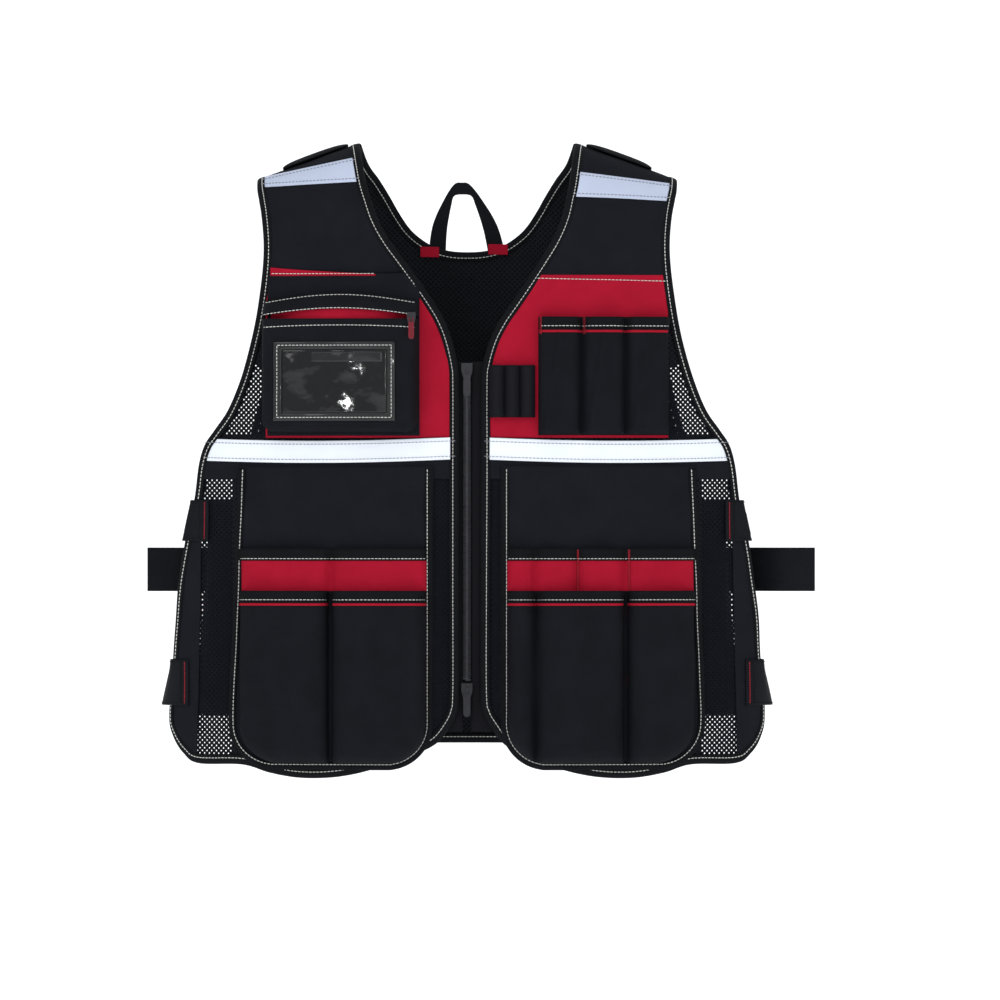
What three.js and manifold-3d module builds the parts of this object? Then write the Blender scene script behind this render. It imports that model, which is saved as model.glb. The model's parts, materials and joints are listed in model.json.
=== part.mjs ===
// A utility work vest, modelled the way it is sewn: a mesh lining draped over a broad body form,
// with facings, reflective tapes, open pouches, bindings, side straps and zips laid on it in layers.
// Millimetres, +Z up, +X to the wearer's left, the front of the vest faces -Y.
// The origin is where the wearer's shoulders carry it, midway between the two shoulder seams.
import * as THREE from 'three';
import { mergeVertices } from 'three/addons/utils/BufferGeometryUtils.js';
import Module from 'manifold-3d';

const wasm = await Module();
wasm.setup();

// The body form that every layer of cloth lies on.
const BODY = { halfWidth: 302, frontDepth: 85, backDepth: 80, length: 610, squareness: 2.6, flare: 0.1 };
const SHOULDER = { neckOut: 112, neckRise: 20, slope: 0.36, roll: 110, seamGap: 0.3 };

// Thicknesses of cloth, and the clearance that separate pieces keep.
const CLOTH = { lining: 2, facing: 1, tape: 0.8, pouch: 1.3, webbing: 1.4 };
const GAP = 0.4;
const SEAM_GAP = 0.3;
const BINDING = { width: 9, fold: 1.2 };

// Heights are drops below the shoulder line, and distances outwards are from the centre front.
const YOKE = { drop: 110 };
const CHEST = { out: 200 };
const CHEST_TAPE = { drop: 272, height: 22, sag: 4 };
const SHOULDER_TAPE = {
  inner: 100, outer: 215,
  r: { innerDrop: -7, outerDrop: 16, innerHeight: 25, outerHeight: 9 },
  l: { innerDrop: 8, outerDrop: 22, innerHeight: 25, outerHeight: 16 },
};
const WAIST_BAND = { below: 20 };
const SIDE_BORDER = { width: 23 };

// The big pocket on each lower front: a backing, a red pouch on it and two pouches in front of that.
// Its pouches are divided by seams, given for the wearer's right and left: the main one, the seams of
// narrower slots in the inner pouch, and the tacks that gather the red pouch alone.
const LOWER_POCKET = {
  inner: 34, outerTop: 227, outerBottom: 238, corner: 46, topGap: 3, rim: 6, bottom: 604,
  redMouth: 384, frontMouth: 426, redDepth: 7, frontDepth: 16, falloff: 15,
};
const DIVIDE = {
  gap: 3.4,
  r: { main: 135, slots: [], tacks: [] },
  l: { main: 157, slots: [68], tacks: [110] },
};
const HEM = { height: 11 };

// The patch on the wearer's right chest, the zipped bag on it and the card window on that.
const PATCH = { inner: 47, outer: 198, drop: 109 };
const BAG = { inner: 48, outer: 201, mouth: 155, bottom: 268, depth: 24, falloff: 9, corner: 12 };
const HOOD = { top: 128, arch: 9, slit: 2, lip: 6 };
const CARD = { inner: 70, outer: 186, top: 178, bottom: 257, rim: 8, thick: 1 };

// The tool slots and the row of elastic loops on the wearer's left chest.
const SLOTS = { inner: 71, outer: 200, mouth: 153, count: 3, depth: 11, falloff: 9, bottomGap: 1.5 };
const LOOPS = { inner: 22, outer: 68, drop: 201, height: 52, count: 3, depth: 8 };

// The main zip, its sliders and their pulls.
const ZIP = { chain: 8, chainDepth: 4.4, tape: 22, top: 206, bottom: 517, tapeTop: 197, tapeBottom: 566 };
const SLIDER = { width: 11, height: 15, thick: 4, bail: 2, bailBar: 1.2, bailRoom: 2.6, bailRise: 1.8 };
const PULL = { width: 7, length: 26, thick: 1.4, bar: 1.4, eye: 3.6, ring: 1.2, clear: 0.5 };
const BAG_SLIDER_SCALE = 0.8;

// The open sides: an elastic wing behind each, and the straps that bridge it. Each lies on the front from
// one angle to another, crosses the side, and lies on the back. reach is how far out it bows where it
// crosses, past is how far it runs beyond the front's own edge, and turn is how far out it turns there.
const WING = { top: 370, height: 180, from: 45, to: 36, back: -54, reachTop: 262, reachBottom: 286 };
const STRAP = {
  upper: 335, upperHeight: 41, upperFrom: 36, upperReach: 262, past: 4, turn: 3.5, back: -45,
  lower: 495, lowerHeight: 46, lowerFrom: 27, lowerReach: 314,
};
const TAB = { drop: 383, height: 44, flat: 34, tipLeft: 351, tipRight: 323, standing: 17 };

// The hanging loop behind the neck, and the shoulder pads.
const LOOP = { width: 18, foot: 40.5, height: 80, crown: 12, lean: -6 };
const PAD = { inner: 118, outer: 184, front: 8, back: 62, puff: 6, rim: 1.2 };

// The net's see-through windows beside the pockets.
const NET = { pitch: 8, hole: 4.6, rows: 4, columns: 3, upperDrop: 322, lowerDrop: 563, out: 236 };

const DEGREE = Math.PI / 180;
const LATTICE = { step: 9, rollRows: 5, straightRows: 2, floor: 625 };
const ROUND = { front: [0, 180], back: [-180, 0], zip: [60, 120] };
const THROUGH = 400;

const COLOUR = {
  black: 0x202226, net: 0x0c0f16, red: 0x9c1c2c, tape: 0xd8e0f2, binding: 0x16181b, webbing: 0x15181d,
  metal: 0x1c1c1f, clear: 0x55585e,
};

// The neck and centre edge of each front, then its hem and its side up to the shoulder point.
// out is a share of BODY.halfWidth, and down is a share of BODY.length below the shoulder line.
// ease is the share of BODY.halfWidth by which the wearer's left front stands further from the zip.
const FRONT_EDGE = [
  { out: 0.368, down: -0.060 }, { out: 0.354, down: -0.025 }, { out: 0.334, down: 0.030, ease: 0.005 },
  { out: 0.318, down: 0.057, ease: 0.010 }, { out: 0.295, down: 0.090, ease: 0.017 },
  { out: 0.258, down: 0.123, ease: 0.025 }, { out: 0.205, down: 0.159, ease: 0.034 },
  { out: 0.149, down: 0.197, ease: 0.040 }, { out: 0.109, down: 0.226, ease: 0.040 },
  { out: 0.076, down: 0.254, ease: 0.034 }, { out: 0.050, down: 0.287, ease: 0.026 },
  { out: 0.031, down: 0.328, ease: 0.021 }, { out: 0.0265, down: 0.360, ease: 0.020 },
  { out: 0.0265, down: 0.861, ease: 0.018 }, { out: 0.034, down: 0.897, ease: 0.020 },
  { out: 0.060, down: 0.923, ease: 0.024 }, { out: 0.099, down: 0.946, ease: 0.020 },
  { out: 0.159, down: 0.962, ease: 0.010 },
  { out: 0.242, down: 0.977 }, { out: 0.340, down: 0.993 }, { out: 0.440, down: 1.002 },
  { out: 0.550, down: 1.003 }, { out: 0.650, down: 0.995 }, { out: 0.740, down: 0.982 },
  { out: 0.887, down: 0.981 }, { out: 0.937, down: 0.966 }, { out: 0.970, down: 0.939 },
  { out: 0.983, down: 0.902 }, { out: 0.970, down: 0.811 }, { out: 0.957, down: 0.713 },
  { out: 0.930, down: 0.615 }, { out: 0.901, down: 0.549 }, { out: 0.887, down: 0.492 },
  { out: 0.868, down: 0.459 }, { out: 0.834, down: 0.434 }, { out: 0.790, down: 0.402 },
  { out: 0.748, down: 0.352 }, { out: 0.719, down: 0.303 }, { out: 0.697, down: 0.254 },
  { out: 0.682, down: 0.205 }, { out: 0.672, down: 0.159 }, { out: 0.671, down: 0.123 },
  { out: 0.679, down: 0.084 }, { out: 0.689, down: 0.057 }, { out: 0.697, down: 0.030 },
  { out: 0.702, down: -0.060 },
];

// Half of the back's edge, from the centre of the neck round the shoulder and armhole to the hem.
const BACK_EDGE = [
  { out: 0.000, down: 0.136 }, { out: 0.060, down: 0.134 }, { out: 0.116, down: 0.126 },
  { out: 0.162, down: 0.112 }, { out: 0.198, down: 0.095 }, { out: 0.232, down: 0.070 },
  { out: 0.262, down: 0.044 }, { out: 0.295, down: 0.018 }, { out: 0.334, down: -0.010 },
  { out: 0.368, down: -0.060 }, { out: 0.702, down: -0.060 }, { out: 0.697, down: 0.030 },
  { out: 0.672, down: 0.084 }, { out: 0.652, down: 0.140 }, { out: 0.652, down: 0.205 },
  { out: 0.665, down: 0.290 }, { out: 0.690, down: 0.370 }, { out: 0.722, down: 0.430 },
  { out: 0.742, down: 0.480 }, { out: 0.745, down: 0.885 }, { out: 0.722, down: 0.927 },
  { out: 0.675, down: 0.948 }, { out: 0.600, down: 0.954 }, { out: 0.000, down: 0.954 },
];

// One row for each fold line across a shoulder pad: place is a share of the pad's width.
const PAD_COLUMNS = [0, 0.12, 0.35, 0.65, 0.88, 1];
const PAD_ROWS = [0, 0.12, 0.35, 0.65, 0.88, 1];

const material = (name, roughness = 0.85, metalness = 0) =>
  new THREE.MeshStandardMaterial({ color: COLOUR[name], roughness, metalness });
const FINISH = {
  black: material('black'), net: material('net', 0.9), red: material('red', 0.8), tape: material('tape', 0.45),
  binding: material('binding', 0.8), webbing: material('webbing', 0.75), metal: material('metal', 0.35, 0.8),
  clear: material('clear', 0.15),
};

const vest = new THREE.Group();
const lerp = THREE.MathUtils.lerp;
const clamp = THREE.MathUtils.clamp;

function addPiece(name, geometry, finish) {
  const mesh = new THREE.Mesh(geometry, finish);
  mesh.name = name;
  vest.add(mesh);
  return mesh;
}

// Height of the shoulder seam over a point that far from the centre.
function ridgeHeight(out) {
  return SHOULDER.neckRise - SHOULDER.slope * (Math.abs(out) - SHOULDER.neckOut);
}

// A point of the body form. around is in degrees: 0 at the left side, 90 at the centre front, 180 at the
// right side and 270 at the centre back. down is 0 at the shoulder seam, 1 where the shoulder has rolled
// over to the full depth, and 2 at the floor of the form.
function formPoint(around, down) {
  const turn = around * DEGREE;
  const reach = Math.abs(Math.cos(turn)) ** (2 / BODY.squareness) * Math.sign(Math.cos(turn));
  const x = BODY.halfWidth * reach;
  const depth = Math.sin(turn) > 0 ? BODY.frontDepth : BODY.backDepth;
  const full = -depth * Math.sin(turn);
  const ridge = ridgeHeight(x);
  if (down <= 1) {
    const roll = (down * Math.PI) / 2;
    return new THREE.Vector3(x, full * Math.sin(roll), ridge - SHOULDER.roll * (1 - Math.cos(roll)));
  }
  const fall = down - 1;
  const z = lerp(ridge - SHOULDER.roll, -LATTICE.floor, fall);
  return new THREE.Vector3(x, full * (1 + BODY.flare * fall), z);
}

function formNormal(around, down) {
  const [turnStep, fallStep] = [0.05, 0.0005];
  const [high, low] = [Math.max(down - fallStep, 0), Math.min(down + fallStep, 2)];
  const across = formPoint(around + turnStep, down).sub(formPoint(around - turnStep, down));
  const along = formPoint(around, low).sub(formPoint(around, high));
  return across.cross(along).normalize();
}

function offsetPoint(around, down, offset) {
  return formPoint(around, down).addScaledVector(formNormal(around, down), offset);
}

// The form's own coordinates over a point of the front view; face is 1 for the front and -1 for the back.
function overPoint(x, z, face = 1) {
  const share = clamp(Math.abs(x) / BODY.halfWidth, 0, 1) ** (BODY.squareness / 2);
  const turn = Math.acos(share) / DEGREE;
  const around = x >= 0 ? face * turn : face * (180 - turn);
  const ridge = ridgeHeight(x);
  const rolled = ridge - SHOULDER.roll;
  const down = z > rolled
    ? Math.acos(clamp(1 - (ridge - z) / SHOULDER.roll, -1, 1)) / (Math.PI / 2)
    : 1 + (rolled - z) / (rolled + LATTICE.floor);
  return { around, down };
}

function pointOver(x, z, offset, face = 1) {
  const { around, down } = overPoint(x, z, face);
  return offsetPoint(around, down, offset);
}

// Turns a mesh whose faces point inwards the right way round.
function facingOut(geometry) {
  const place = geometry.getAttribute('position');
  const index = geometry.getIndex();
  const corner = (k) => new THREE.Vector3().fromBufferAttribute(place, index.getX(k));
  let volume = 0;
  for (let k = 0; k < index.count; k += 3) volume += corner(k).dot(corner(k + 1).cross(corner(k + 2)));
  if (volume > 0) return geometry;
  const turned = Array.from(index.array);
  for (let k = 0; k < turned.length; k += 3) [turned[k], turned[k + 1]] = [turned[k + 1], turned[k]];
  return geometry.setIndex(turned);
}

// A closed wall between two grids of points, each a list of rows of Vector3.
function wallBetween(inner, outer) {
  const [rows, columns] = [outer.length, outer[0].length];
  const points = [...outer.flat(), ...inner.flat()];
  const at = (layer, i, j) => layer * rows * columns + i * columns + j;
  const index = [];
  const quad = (a, b, c, d) => index.push(a, b, c, a, c, d);
  for (let i = 0; i < rows - 1; i++)
    for (let j = 0; j < columns - 1; j++) {
      quad(at(0, i, j), at(0, i, j + 1), at(0, i + 1, j + 1), at(0, i + 1, j));
      quad(at(1, i, j), at(1, i + 1, j), at(1, i + 1, j + 1), at(1, i, j + 1));
    }
  for (let j = 0; j < columns - 1; j++) {
    quad(at(0, 0, j + 1), at(0, 0, j), at(1, 0, j), at(1, 0, j + 1));
    quad(at(0, rows - 1, j), at(0, rows - 1, j + 1), at(1, rows - 1, j + 1), at(1, rows - 1, j));
  }
  for (let i = 0; i < rows - 1; i++) {
    quad(at(0, i, 0), at(0, i + 1, 0), at(1, i + 1, 0), at(1, i, 0));
    quad(at(0, i + 1, columns - 1), at(0, i, columns - 1), at(1, i, columns - 1), at(1, i + 1, columns - 1));
  }
  const geometry = new THREE.BufferGeometry().setFromPoints(points).setIndex(index);
  return facingOut(geometry);
}

function solidFrom(geometry) {
  const bare = geometry.clone();
  bare.deleteAttribute('normal');
  bare.deleteAttribute('uv');
  const merged = mergeVertices(bare, 1e-4);
  return new wasm.Manifold(new wasm.Mesh({
    numProp: 3,
    vertProperties: new Float32Array(merged.getAttribute('position').array),
    triVerts: new Uint32Array(merged.getIndex().array),
  }));
}

function geometryFrom(solid) {
  const mesh = solid.getMesh();
  const geometry = new THREE.BufferGeometry();
  geometry.setAttribute('position', new THREE.BufferAttribute(mesh.vertProperties, 3));
  geometry.setIndex(new THREE.BufferAttribute(mesh.triVerts, 1));
  return geometry;
}

const steps = (from, to, count) => Array.from({ length: count + 1 }, (_, k) => lerp(from, to, k / count));
const FALLS = [
  (SHOULDER.seamGap / BODY.frontDepth) * (2 / Math.PI),
  ...steps(0, 1, LATTICE.rollRows).slice(1),
  ...steps(1, 2, LATTICE.straightRows).slice(1),
];

// A layer of cloth over one face of the form, or over the stretch between two angles of it.
function drape([inner, outer], [from, to] = ROUND.front) {
  const count = Math.round((to - from) / LATTICE.step);
  const angles = steps(from, to, count);
  const grid = (offset) => FALLS.map((down) => angles.map((around) => offsetPoint(around, down, offset)));
  return wallBetween(grid(inner), grid(outer));
}

// A pattern piece: the outline in the front view, pushed right through the form.
function pattern(points) {
  const outline = new THREE.Shape(points.map(([x, z]) => new THREE.Vector2(x, z)));
  const prism = new THREE.ExtrudeGeometry(outline, { depth: 2 * THROUGH, bevelEnabled: false });
  prism.rotateX(Math.PI / 2).translate(0, THROUGH, 0);
  return solidFrom(prism);
}

// The outline moved inwards by a distance, corner by corner.
function inset(points, distance) {
  const flat = points.map(([x, z]) => new THREE.Vector2(x, z));
  const sense = THREE.ShapeUtils.isClockWise(flat) ? -1 : 1;
  const count = flat.length;
  return flat.map((point, k) => {
    const before = point.clone().sub(flat[(k + count - 1) % count]).normalize();
    const after = flat[(k + 1) % count].clone().sub(point).normalize();
    const inward = new THREE.Vector2(-before.y - after.y, before.x + after.x).normalize();
    const across = new THREE.Vector2(-after.y, after.x).dot(inward);
    return point.clone().addScaledVector(inward, (sense * distance) / Math.max(across, 0.5)).toArray();
  });
}

const edgePoint = (side) => ({ out, down, ease = 0 }) => {
  const share = side > 0 ? out + ease : out;
  return [side * share * BODY.halfWidth, -down * BODY.length];
};
const frontOutline = (side) => FRONT_EDGE.map(edgePoint(side));
const backOutline = () => [
  ...BACK_EDGE.map(edgePoint(1)),
  ...BACK_EDGE.slice(1, -1).reverse().map(edgePoint(-1)),
];
const rectangle = (side, inner, outer, top, bottom) => [
  [side * inner, -top], [side * outer, -top], [side * outer, -bottom], [side * inner, -bottom],
];

// Layers, from the inside out. Each is its inner and outer distance from the form.
const over = ([, outer], thick) => [outer + GAP, outer + GAP + thick];
const LINING = [0, CLOTH.lining];
const FACING = over(LINING, CLOTH.facing);
const ON_FACING = over(FACING, CLOTH.tape);
const BACKING = over(FACING, CLOTH.facing);
const BOUND_EDGE = [-BINDING.fold, CLOTH.lining + BINDING.fold];
const BEHIND = [-BINDING.fold - GAP - CLOTH.facing, -BINDING.fold - GAP];
const SIDES = [['r', -1], ['l', 1]];
const BOUND_WIDTH = BINDING.width + SEAM_GAP;

// A front of the vest with the net's windows, and what is laid flat on it.
function netHoles(side) {
  const holes = [];
  const half = NET.hole / 2;
  for (const drop of [NET.upperDrop, NET.lowerDrop])
    for (let row = 0; row < NET.rows; row++)
      for (let column = 0; column < NET.columns; column++) {
        const x = side * (NET.out + (column + (row % 2) / 2) * (NET.pitch * 0.75));
        const z = -drop - row * NET.pitch;
        holes.push(pattern([[x - half, z], [x, z + half], [x + half, z], [x, z - half]]));
      }
  return holes;
}

function buildFront(name, side) {
  const outline = frontOutline(side);
  const inside = pattern(inset(outline, BOUND_WIDTH));
  const cut = (layer, shape) => solidFrom(drape(layer)).intersect(inside).intersect(pattern(shape));
  const lay = (label, layer, shape, finish) =>
    addPiece(`${label}_${name}`, geometryFrom(cut(layer, shape)), finish);
  const wide = BODY.halfWidth;

  let lining = solidFrom(drape(LINING)).intersect(inside);
  for (const hole of netHoles(side)) lining = lining.subtract(hole);
  addPiece(`front_panel_${name}`, geometryFrom(lining), FINISH.net);

  const edge = pattern(outline).subtract(pattern(inset(outline, BINDING.width)));
  addPiece(`front_binding_${name}`, geometryFrom(solidFrom(drape(BOUND_EDGE)).intersect(edge)), FINISH.binding);

  lay('yoke', FACING, rectangle(side, 0, wide, -BODY.length, YOKE.drop), FINISH.black);
  const redTop = YOKE.drop + SEAM_GAP;
  lay('chest_panel', FACING, rectangle(side, 0, CHEST.out, redTop, CHEST_TAPE.drop - SEAM_GAP), FINISH.red);
  const bandBottom = CHEST_TAPE.drop + CHEST_TAPE.height + WAIST_BAND.below;
  lay('waist_band', FACING, rectangle(side, 0, wide, CHEST_TAPE.drop, bandBottom), FINISH.black);
  lay('chest_tape', ON_FACING, sagging(side, CHEST_TAPE), FINISH.tape);
  lay('shoulder_tape', ON_FACING, shoulderTape(name, side), FINISH.tape);

  const borderInner = BODY.halfWidth - BINDING.width - SIDE_BORDER.width - 6;
  const border = rectangle(side, borderInner, wide, bandBottom + SEAM_GAP, BODY.length);
  lay('side_border', FACING, border, FINISH.black);
}

// The chest tape hangs a little lower in the middle than at its ends.
function sagging(side, tape) {
  const along = steps(0, BODY.halfWidth, 6);
  const drop = (x) => tape.drop + tape.sag * Math.sin((Math.PI * x) / BODY.halfWidth);
  return [
    ...along.map((x) => [side * x, -drop(x)]),
    ...along.reverse().map((x) => [side * x, -drop(x) - tape.height]),
  ];
}

// The shoulder tape lies across the front of the shoulder, and looks narrower where the cloth rolls back.
function shoulderTape(name, side) {
  const { inner, outer } = SHOULDER_TAPE;
  const { innerDrop, outerDrop, innerHeight, outerHeight } = SHOULDER_TAPE[name];
  return [
    [side * inner, -innerDrop], [side * outer, -outerDrop],
    [side * outer, -outerDrop - outerHeight], [side * inner, -innerDrop - innerHeight],
  ];
}

function buildBack() {
  const outline = backOutline();
  const back = (layer) => solidFrom(drape(layer, ROUND.back));
  const inside = pattern(inset(outline, BOUND_WIDTH));
  addPiece('back_panel', geometryFrom(back(LINING).intersect(inside)), FINISH.net);
  const edge = pattern(outline).subtract(pattern(inset(outline, BINDING.width)));
  const neck = pattern(rectangle(1, -SHOULDER.neckOut - 20, SHOULDER.neckOut + 20, -BODY.length, YOKE.drop));
  const bound = back(BOUND_EDGE).intersect(edge);
  addPiece('back_neck_binding', geometryFrom(bound.intersect(neck)), FINISH.binding);
  addPiece('back_side_binding', geometryFrom(bound.subtract(neck)), FINISH.binding);
}

// How far a point lies inside the seams of a pouch, which may be pinched flat along some lines.
function seamDistance(x, z, pouch) {
  const [left, right, bottom] = [x - pouch.x0, pouch.x1 - x, z - pouch.z1];
  const corner = (side, radius) =>
    side < radius && bottom < radius ? radius - Math.hypot(radius - side, radius - bottom) : Infinity;
  const pinches = pouch.pinches.map((line) => Math.max(Math.abs(x - line) - DIVIDE.gap / 2, 0));
  return Math.min(left, right, bottom, corner(left, pouch.r0), corner(right, pouch.r1), ...pinches);
}

// A pouch stands out from its seams like a filled sail.
function rise(x, z, pouch) {
  const inside = clamp(seamDistance(x, z, pouch) / pouch.falloff, 0, 1);
  return pouch.depth * Math.sqrt(1 - (1 - inside) ** 2);
}

function pouchWall(pouch, seat, thick, xs, zs) {
  const grid = (extra) => zs.map((z) => xs.map((x) => pointOver(x, z, seat + rise(x, z, pouch) + extra)));
  return solidFrom(wallBetween(grid(0), grid(thick)));
}

function pouchOutline(pouch) {
  const arc = (cx, radius, from) => steps(from, from + 90, 4).map((turn) =>
    [cx + radius * Math.cos(turn * DEGREE), pouch.z1 + radius + radius * Math.sin(turn * DEGREE)]);
  return [
    [pouch.x0, pouch.z0],
    ...(pouch.r0 ? arc(pouch.x0 + pouch.r0, pouch.r0, 180) : [[pouch.x0, pouch.z1]]),
    ...(pouch.r1 ? arc(pouch.x1 - pouch.r1, pouch.r1, 270) : [[pouch.x1, pouch.z1]]),
    [pouch.x1, pouch.z0],
  ];
}

// A pouch between two distances from the centre front, on its side of the vest. corners holds the
// radius of its inner and its outer bottom corner, and pinches the distances of its own dividing seams.
function pouchOn(side, { inner, outer, top, bottom, corners = [0, 0], pinches = [], depth, falloff }) {
  const [x0, x1] = side > 0 ? [inner, outer] : [-outer, -inner];
  const [r0, r1] = side > 0 ? corners : [...corners].reverse();
  return { x0, x1, z0: -top, z1: -bottom, r0, r1, pinches: pinches.map((line) => side * line), depth, falloff };
}

// Columns of a pouch: close together beside each seam, where it turns, and few across each bay.
function columnsAcross(seams) {
  const shares = [0, 0.1, 0.3, 0.7, 0.9];
  const bays = seams.slice(1).flatMap((seam, k) => shares.map((share) => lerp(seams[k], seam, share)));
  return [...bays, seams[seams.length - 1]];
}

function rowsDown(top, bottom) {
  return [0, 0.5, 0.8, 0.92, 1].map((share) => -lerp(top, bottom, share));
}

// The big pocket on a lower front: its backing, the red pouch, and the pouches sewn in front of that.
function buildLowerPocket(name, side) {
  const { rim, corner, inner, outerTop, outerBottom, redMouth, frontMouth } = LOWER_POCKET;
  const top = CHEST_TAPE.drop + CHEST_TAPE.height + CHEST_TAPE.sag + LOWER_POCKET.topGap;
  const bottom = LOWER_POCKET.bottom;
  const lean = (outerBottom - outerTop) / (bottom - top);
  const backing = pouchOutline(pouchOn(side, { inner, outer: outerBottom, top, bottom, corners: [corner, corner] }))
    .map(([x, z]) => (Math.abs(x) < outerTop - corner ? [x, z] : [x - side * lean * (z + bottom), z]));
  addPiece(`pocket_back_${name}`, geometryFrom(solidFrom(drape(BACKING)).intersect(pattern(backing))), FINISH.black);

  const divide = DIVIDE[name];
  const [from, to] = [inner + rim, outerTop - DIVIDE.gap];
  const innerSeams = [from, ...divide.slots, divide.main - DIVIDE.gap / 2];
  const outerSeams = [divide.main + DIVIDE.gap / 2, to];
  const [innerColumns, outerColumns] = [columnsAcross(innerSeams), columnsAcross(outerSeams)];
  const floor = bottom - rim;
  const round = corner - rim;
  const rows = rowsDown(frontMouth, floor);
  const onSide = (columns) => columns.map((x) => side * x);

  const red = pouchOn(side, {
    inner: from, outer: to, top: redMouth, bottom: floor, corners: [round, round],
    pinches: [divide.main, ...divide.slots, ...divide.tacks],
    depth: LOWER_POCKET.redDepth, falloff: LOWER_POCKET.falloff,
  });
  const redSeat = BACKING[1] + GAP;
  const redColumns = onSide([...innerColumns, ...divide.tacks, ...outerColumns].sort((a, b) => a - b));
  const hemBottom = redMouth + HEM.height;
  const redRows = [-redMouth, -hemBottom, ...rows];
  const redWall = pouchWall(red, redSeat, CLOTH.pouch, redColumns, redRows);
  addPiece(`pocket_red_${name}`, geometryFrom(redWall.intersect(pattern(pouchOutline(red)))), FINISH.red);
  const hemSeat = redSeat + CLOTH.pouch + GAP;
  const hem = pouchWall(red, hemSeat, CLOTH.tape, redColumns, [-redMouth, -hemBottom]);
  addPiece(`pocket_hem_${name}`, geometryFrom(hem), FINISH.binding);

  const seat = redSeat + CLOTH.pouch + GAP;
  const fronts = [
    ['inner', innerSeams, innerColumns, [round, 0]],
    ['outer', outerSeams, outerColumns, [0, round]],
  ];
  for (const [half, seams, columns, corners] of fronts) {
    const pouch = pouchOn(side, {
      inner: seams[0], outer: seams[seams.length - 1], top: frontMouth, bottom: floor, corners,
      pinches: seams.slice(1, -1), depth: LOWER_POCKET.frontDepth, falloff: LOWER_POCKET.falloff,
    });
    const wall = pouchWall(pouch, seat, CLOTH.pouch, onSide(columns), rows);
    addPiece(`pocket_front_${half}_${name}`, geometryFrom(wall.intersect(pattern(pouchOutline(pouch)))), FINISH.black);
  }
}

// The wearer's right chest: the flat patch, the zipped bag with its hood, and the card window.
function buildChestBag() {
  const inside = pattern(inset(frontOutline(-1), BOUND_WIDTH));
  const patch = rectangle(-1, PATCH.inner, PATCH.outer, PATCH.drop, CHEST_TAPE.drop - 1);
  const patchLayer = over(FACING, CLOTH.facing);
  const patchSolid = solidFrom(drape(patchLayer)).intersect(inside).intersect(pattern(patch));
  addPiece('chest_patch', geometryFrom(patchSolid), FINISH.black);

  const seat = patchLayer[1] + GAP;
  const bag = pouchOn(-1, {
    inner: BAG.inner, outer: BAG.outer, top: BAG.mouth, bottom: BAG.bottom, corners: [BAG.corner, BAG.corner],
    depth: BAG.depth, falloff: BAG.falloff,
  });
  const edge = [0, 2, 5, BAG.falloff];
  const bagColumns = [
    ...edge.map((inside) => bag.x0 + inside), ...steps(bag.x0, bag.x1, 5).slice(1, -1),
    ...edge.map((inside) => bag.x1 - inside).reverse(),
  ];
  const bagRows = [bag.z0, lerp(bag.z0, bag.z1, 0.5), ...edge.map((inside) => bag.z1 + inside).reverse()];
  const bagWall = pouchWall(bag, seat, CLOTH.pouch, bagColumns, bagRows);
  addPiece('zip_bag', geometryFrom(bagWall.intersect(pattern(pouchOutline(bag)))), FINISH.black);

  const lip = (u) => HOOD.arch * Math.sin(Math.PI * u);
  const hoodAcross = [0, 0.03, 0.07, 0.2, 0.4, 0.6, 0.8, 0.93, 0.97, 1];
  const hoodGrid = (extra) => [0, 0.25, 0.6, 1].map((v) => hoodAcross.map((u) => {
    const x = lerp(-BAG.outer, -BAG.inner, u);
    const top = -HOOD.top - (1 - Math.sin(Math.PI * clamp(u, 0.04, 0.96))) * HOOD.arch;
    const low = -BAG.mouth + HOOD.slit + lip(u) * 0.6;
    const ends = clamp(Math.min(x + BAG.outer, -BAG.inner - x) / BAG.falloff, 0, 1);
    const rise = (BAG.depth - HOOD.lip * (1 - v)) * Math.sqrt(1 - (1 - v) ** 2) * Math.sqrt(1 - (1 - ends) ** 2);
    return pointOver(x, lerp(top, low, v), seat + rise + extra);
  }));
  addPiece('bag_hood', wallBetween(hoodGrid(0), hoodGrid(CLOTH.pouch)), FINISH.black);

  const face = seat + BAG.depth + CLOTH.pouch + GAP;
  const cardAcross = steps(0, 1, 4);
  const plate = (margin, thick, offset) => {
    const sheet = (extra) => [0, 1].map((v) => cardAcross.map((u) => pointOver(
      lerp(-CARD.outer + margin, -CARD.inner - margin, u),
      lerp(-CARD.top - margin, -CARD.bottom + margin, v), offset + extra)));
    return solidFrom(wallBetween(sheet(0), sheet(thick)));
  };
  const hole = plate(CARD.rim, 3 * CARD.thick, face - CARD.thick);
  addPiece('card_frame', geometryFrom(plate(0, CARD.thick, face).subtract(hole)), FINISH.binding);
  const pane = plate(CARD.rim + SEAM_GAP, CARD.thick, face);
  addPiece('card_window', geometryFrom(pane), FINISH.clear);

  const [x, z] = [-BAG.inner - BAG.falloff * 0.7, -BAG.mouth];
  const spot = pointOver(x, z, seat + BAG.depth + CLOTH.pouch + GAP);
  buildSlider('bag_slider', 'bag_pull', spot, BAG_SLIDER_SCALE);
}

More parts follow.
